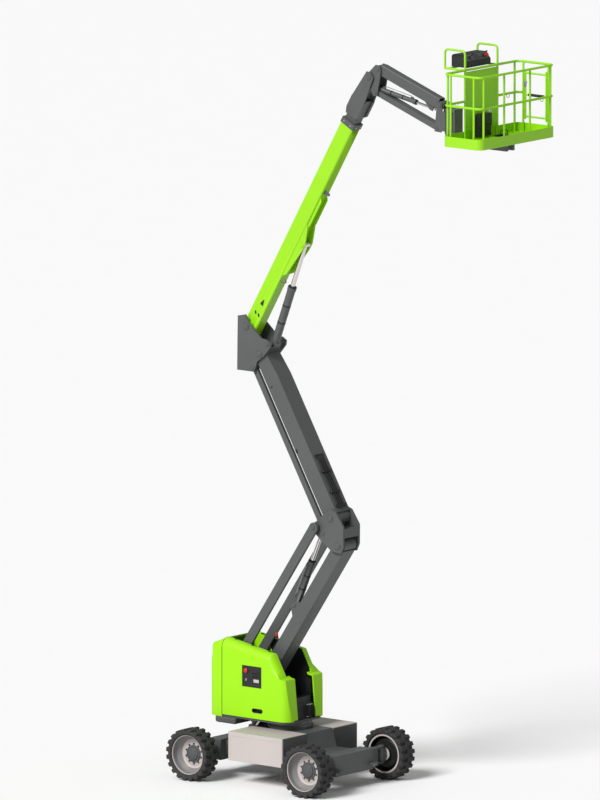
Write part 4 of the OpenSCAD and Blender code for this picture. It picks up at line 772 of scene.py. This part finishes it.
boom_run = member(np.zeros(3), BOOM_LEAN, 1.0, 0.0, 0.0)
boom_up = member(np.zeros(3), BOOM_LEAN, 0.0, 0.0, 1.0)
triangle = np.array([[-0.050, -0.030], [0.050, -0.006], [0.050, 0.006], [-0.030, 0.036], [-0.046, 0.030]])
screws = []
plugs = []
for side in (-1, 1):
    side_places = [on_boom(COLLAR_AT, side * 0.1105, up) for up in (-0.07, 0.07)]
    face_places = [on_boom(COLLAR_AT, y, side * 0.138) for y in (-0.05, 0.05)]
    screws += [put(bolt(0.012), side_places, side * Y), put(bolt(0.012), face_places, side * boom_up)]
    slots = [on_boom(0.240, side * BOOM_SIDE, 0.016), on_boom(0.234, side * BOOM_SIDE, -0.056)]
    plugs += [put(plate(rounded(0.058, 0.030, 0.0149, 7), 0.003), slots, side * Y, boom_run + 0.9 * boom_up),
              put(plate(triangle, 0.003), on_boom(0.45, side * BOOM_SIDE, -0.026), side * Y, boom_run)]
piece("collar_screws", merge(*screws), zinc_steel, "main_boom")
piece("boom_plugs", merge(*plugs), black_plastic, "main_boom")
cheek = np.array([[1.90, BOOM_BELLY], [1.90, -0.150], [2.00, -0.172], [2.44, -0.172], [2.50, BOOM_BELLY]])
cheeks = put(plate(cheek, 0.006), [pin["boom_lift"] + y * Y for y in (-0.070, 0.076)], -Y, boom_run)
piece("hose_tray", cheeks, lime_enamel, "main_boom")
tab = np.array([[2.56, BOOM_BELLY], [2.575, -0.225], [2.605, -0.240], [2.625, -0.222], [2.620, BOOM_BELLY]])
hook_knots = ((0.93, BOOM_BELLY), (0.935, -0.17), (0.950, -0.215), (0.975, -0.232), (0.995, -0.215),
              (0.998, -0.19))
hook = tube(curve([on_boom(s, HOOK_Y, up) for s, up in hook_knots], 26), HOOK_RADIUS)
tab_and_hook = merge(put(plate(tab, 0.010), pin["boom_lift"] - 0.04 * Y, -Y, boom_run), hook)
piece("boom_tab_and_hook", tab_and_hook, grey_enamel, "main_boom")

# Upper riser hoses and plugs: four rubber hoses lie on the arm's front face and dive into a mouth plate.
# They start at a bulkhead, and two black straps on feet hold them, each with two bright bolts.
# Moulded black plugs close the holes in the arm's sides.
ARM_LEAN = 120.0
ARM_FACE, ARM_SIDE, ARM_MIDDLE = -0.131, 0.1625, -0.002
ARM_HOSE_RADIUS = 0.0115
ARM_HOSE_SEAT = -0.130


def on_arm(s, y, up):
    """A point on the upper riser: s from its foot pin, y across, up to its upper side."""
    return member(pin["upper_riser_turn"], ARM_LEAN, s, y, up)


arm_run = member(np.zeros(3), ARM_LEAN, 1.0, 0.0, 0.0)
arm_front = member(np.zeros(3), ARM_LEAN, 0.0, 0.0, -1.0)
hose_knots = ((0.150, 0.012), (0.19, 0.0145), (0.40, 0.0155), (0.62, 0.0145), (0.86, 0.0155), (0.93, 0.008),
              (0.965, -0.012))
hoses = [tube(curve([on_arm(s, y, ARM_HOSE_SEAT - lift) for s, lift in hose_knots], 56), ARM_HOSE_RADIUS)
         for y in (-0.062, -0.022, 0.018, 0.058)]
piece("upper_riser_hoses", merge(*hoses), hose_rubber, "upper_riser")
strap_at = (0.36, 0.70)
strap_ends = [(s, y) for s in strap_at for y in (-0.104, 0.100)]
bulkhead = put(plate(rounded(0.21, 0.050, 0.008), 0.030, 0.003), on_arm(0.128, ARM_MIDDLE, ARM_FACE),
               arm_front, Y)
mouth = put(plate(rounded(0.21, 0.070, 0.014), 0.006), on_arm(0.955, ARM_MIDDLE, ARM_FACE), arm_front, Y)
straps = put(plate(rounded(0.225, 0.030, 0.005), 0.005, 0.001),
             [on_arm(s, ARM_MIDDLE, -0.156) for s in strap_at], arm_front, Y)
feet = put(plate(rounded(0.016, 0.030, 0.003), 0.026, 0.001), [on_arm(s, y, ARM_FACE) for s, y in strap_ends],
           arm_front, Y)
strap_bolts = put(bolt(0.006), [on_arm(s, y, -0.161) for s, y in strap_ends], arm_front, Y)
piece("upper_riser_clips", merge(bulkhead, mouth, straps, feet), black_enamel, "upper_riser")
piece("upper_riser_clip_bolts", strap_bolts, zinc_steel, "upper_riser")
bow = np.linspace(-1.3, 1.3, 14)
half_moon = np.stack([0.030 * np.cos(bow) - 0.012, 0.034 * np.sin(bow)], -1)
moon_plug, block_plug = plate(half_moon, 0.003), plate(rounded(0.060, 0.030, 0.010), 0.014)
arm_plugs = []
for side in (-1, 1):
    arm_plugs += [put(moon_plug, on_arm(2.213, side * ARM_SIDE, 0.065), side * Y, arm_run),
                  put(block_plug, on_arm(1.165, side * ARM_SIDE, 0.108), side * Y, arm_run)]
piece("upper_riser_plugs", merge(*arm_plugs), black_plastic, "upper_riser")

# Fly boom head: a black steel plate closes the end of the box section between the cheeks of the fork.
# The chromed rod that levels the jib comes out of it through a gland.
FLY_END = 4.236
ROD_UP, ROD_RADIUS = 0.010, 0.0155
head_plate = put(plate(rounded(0.196, 0.142, 0.012), 0.012), on_boom(FLY_END, 0.0, 0.0), boom_run, boom_up)
rod_gland = put(lathe([[0.034, 0.0], [0.034, 0.030], [0.030, 0.036], [0.017, 0.040]]),
                on_boom(FLY_END + 0.008, 0.0, ROD_UP), boom_run)
piece("fly_head", merge(head_plate, rod_gland), black_enamel, "fly_boom")
level_rod = tube([on_boom(s, 0.0, ROD_UP) for s in np.linspace(4.25, 4.578, 8)], ROD_RADIUS, 24)
piece("levelling_rod", level_rod, rod_chrome, "fly_boom")

# Platform floor: rolled tread plate, sprayed lime, with raised lozenges that lie crosswise by turns.
# Weld collars run round the feet of the rail posts, and a black foot switch with a bent guard stands on it.
TREAD_TOP = 0.034
TREAD_EDGE, TREAD_STEP_X, TREAD_STEP_Y = 0.086, 0.0475, 0.0474
RAIL_INSET = 0.0274
COLLAR_FOOT = 0.0299
deck_low, deck_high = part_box("platform_deck")
tread_z = deck_low[2] + TREAD_TOP
lens_turn = np.linspace(0.0, 2 * math.pi, 10, endpoint=False)
lozenge = plate(np.stack([0.019 * np.cos(lens_turn), 0.0055 * np.sin(lens_turn)], -1), 0.0022, 0.0012)
column, row = np.meshgrid(np.arange(13), np.arange(36), indexing="ij")
spots = np.stack([deck_low[0] + TREAD_EDGE + TREAD_STEP_X * column,
                  deck_low[1] + TREAD_EDGE + TREAD_STEP_Y * row,
                  np.full(column.shape, tread_z - 0.0002)], -1)
even = (column + row) % 2 == 0
treads = merge(put(lozenge, spots[even], Z, X + Y), put(lozenge, spots[~even], Z, X - Y))
piece("tread_lozenges", treads, lime_enamel, "platform")
rail_x0, rail_x1, rail_y = deck_low[0] + RAIL_INSET, deck_high[0] - RAIL_INSET, deck_high[1] - RAIL_INSET
post_feet = [[rail_x1, y] for y in (-0.805, -0.3111, 0.3111, 0.805)]
post_feet += [[rail_x0, y] for y in (-0.805, -0.39, 0.39, 0.805)]
post_feet += [[deck_low[0] + 0.150, -rail_y], [deck_high[0] - 0.150, -rail_y],
              [deck_low[0] + 0.130, rail_y], [deck_high[0] - 0.130, rail_y]]
collar = lathe([[0.0185, 0.0], [0.0185, 0.004], [0.0178, 0.010], [0.0168, 0.016], [0.0150, 0.017]], 24)
collars = put(collar, [[x, y, deck_low[2] + COLLAR_FOOT] for x, y in post_feet], Z, X)
piece("post_collars", collars, lime_enamel, "platform")
pedal_at = np.array([deck_low[0] + 0.20, 0.27, tread_z])
guard_knots = pedal_at + [[0.05, -0.09, 0.012], [0.045, -0.085, 0.07], [0.04, -0.05, 0.095],
                          [0.04, 0.05, 0.095], [0.045, 0.085, 0.07], [0.05, 0.09, 0.012]]
pedal = merge(put(plate(rounded(0.15, 0.21, 0.015), 0.014), pedal_at, Z, X),
              put(plate(rounded(0.10, 0.13, 0.012), 0.014), pedal_at + [0.005, 0, 0.020], Z - 0.18 * X, X),
              tube(curve(guard_knots, 36), 0.007, across=X))
piece("foot_switch", pedal, black_enamel, "platform")

# Platform controls: a grey face plate is screwed on the console's slope and carries two levers in bellows.
# Eight toggles and a red stop button stand beside them. A moulded black box hangs on the rear panel, which
# bright screws hold, and harness rings of round bar are welded to the rails.
SLOPE = np.array([0.743, 0.669])
SEAT = 0.003
STORE_Y = -0.012
RING_Y, RING_Z, RING_INSET = 0.62, 0.592, 0.020
desk_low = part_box("control_console")[0]
desk_up = SLOPE[0] * X + SLOPE[1] * Z
desk_run = SLOPE[1] * X - SLOPE[0] * Z


def on_desk(y, down, lift=SEAT):
    """A point over the console's sloped face: y across, down towards the operator, lift above the face."""
    middle = np.array([desk_low[0] + 0.255, y, desk_low[2] + 0.140])
    return middle + down * desk_run + lift * desk_up


lever = lathe([[0.030, 0.0], [0.030, 0.004], [0.026, 0.010], [0.028, 0.014], [0.021, 0.020], [0.023, 0.024],
               [0.015, 0.030], [0.016, 0.033], [0.008, 0.038], [0.007, 0.085], [0.012, 0.092], [0.015, 0.105],
               [0.013, 0.122], [0.005, 0.128]], 28)
face_plate = put(plate(rounded(0.112, 0.54, 0.010), 0.004), on_desk(0.0, 0.0, 0.0), desk_up, desk_run)
piece("console_face", face_plate, grey_enamel, "platform")
desk_toggles = [on_desk(y, down) for y in (-0.09, -0.05, -0.01, 0.03) for down in (-0.025, 0.020)]
levers = merge(put(lever, [on_desk(y, 0.0) for y in (-0.19, 0.13)], desk_up),
               put(toggle, desk_toggles, desk_up, desk_run))
piece("console_levers", levers, black_plastic, "platform")
piece("console_stop", put(mushroom, on_desk(0.22, 0.0), desk_up), button_red, "platform")
panel_low, panel_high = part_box("rear_panel")
panel_face, panel_foot = panel_high[0], panel_low[2]
store_layers = [(plate(rounded(0.30, 0.345, 0.022), 0.080, 0.006), -0.0005, 0.066),
                (plate(rounded(0.312, 0.200, 0.020), 0.010, 0.004), 0.0775, 0.142),
                (plate(rounded(0.05, 0.022, 0.006), 0.012), 0.086, 0.057)]
store = [put(layer, [panel_face + out, STORE_Y, panel_foot + up], X, Y) for layer, out, up in store_layers]
piece("store_box", merge(*store), black_plastic, "platform")
screw_places = [[panel_face, y, panel_foot + up] for y in (-0.33, 0.33) for up in (0.062, 0.462, 0.842)]
ring_places = [[x, y, deck_low[2] + RING_Z] for x in (rail_x0 + RING_INSET, rail_x1 - RING_INSET)
               for y in (-RING_Y, RING_Y)]
loop = np.linspace(0.0, 2 * math.pi, 12, endpoint=False)
harness_ring = lathe(np.stack([0.028 + 0.005 * np.cos(loop), 0.005 * np.sin(loop)], -1), closed=True)
screws_and_rings = merge(put(bolt(0.008), screw_places, X), put(harness_ring, ring_places, Y))
piece("panel_screws", screws_and_rings, zinc_steel, "platform")

# Gate: a black moulded sleeve on its middle bar is painted shade, which darkens the bar as if it lay in
# shadow.
# A zinc-plated spring latch with a bent finger is screwed on beside the rear post.
gate_low, gate_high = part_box("entry_gate")
gate_mid = (gate_low[2] + gate_high[2]) / 2
# Painted shade: the black sleeve darkens the middle bar as if in shadow.
painted_shade_sleeve = lathe([[0.016, 0.0], [0.0205, 0.004], [0.0215, 0.010], [0.0215, 0.290], [0.0205, 0.296],
                [0.016, 0.300]], 28)
piece("gate_bar_painted_shade", put(painted_shade_sleeve, [gate_low[0] + 0.075, rail_y, gate_mid], X), black_plastic, "gate")
latch_at = np.array([gate_low[0] + 0.030, rail_y - 0.014, gate_mid + 0.17])
finger_knots = latch_at + [[0.0, -0.010, 0.03], [0.010, -0.040, 0.032], [0.045, -0.048, 0.030],
                           [0.075, -0.048, 0.028]]
catch = merge(put(plate(rounded(0.050, 0.090, 0.008), 0.012), latch_at, -Y, X),
              tube(curve(finger_knots, 20), 0.0065, across=Z))
piece("gate_latch", catch, zinc_steel, "gate")
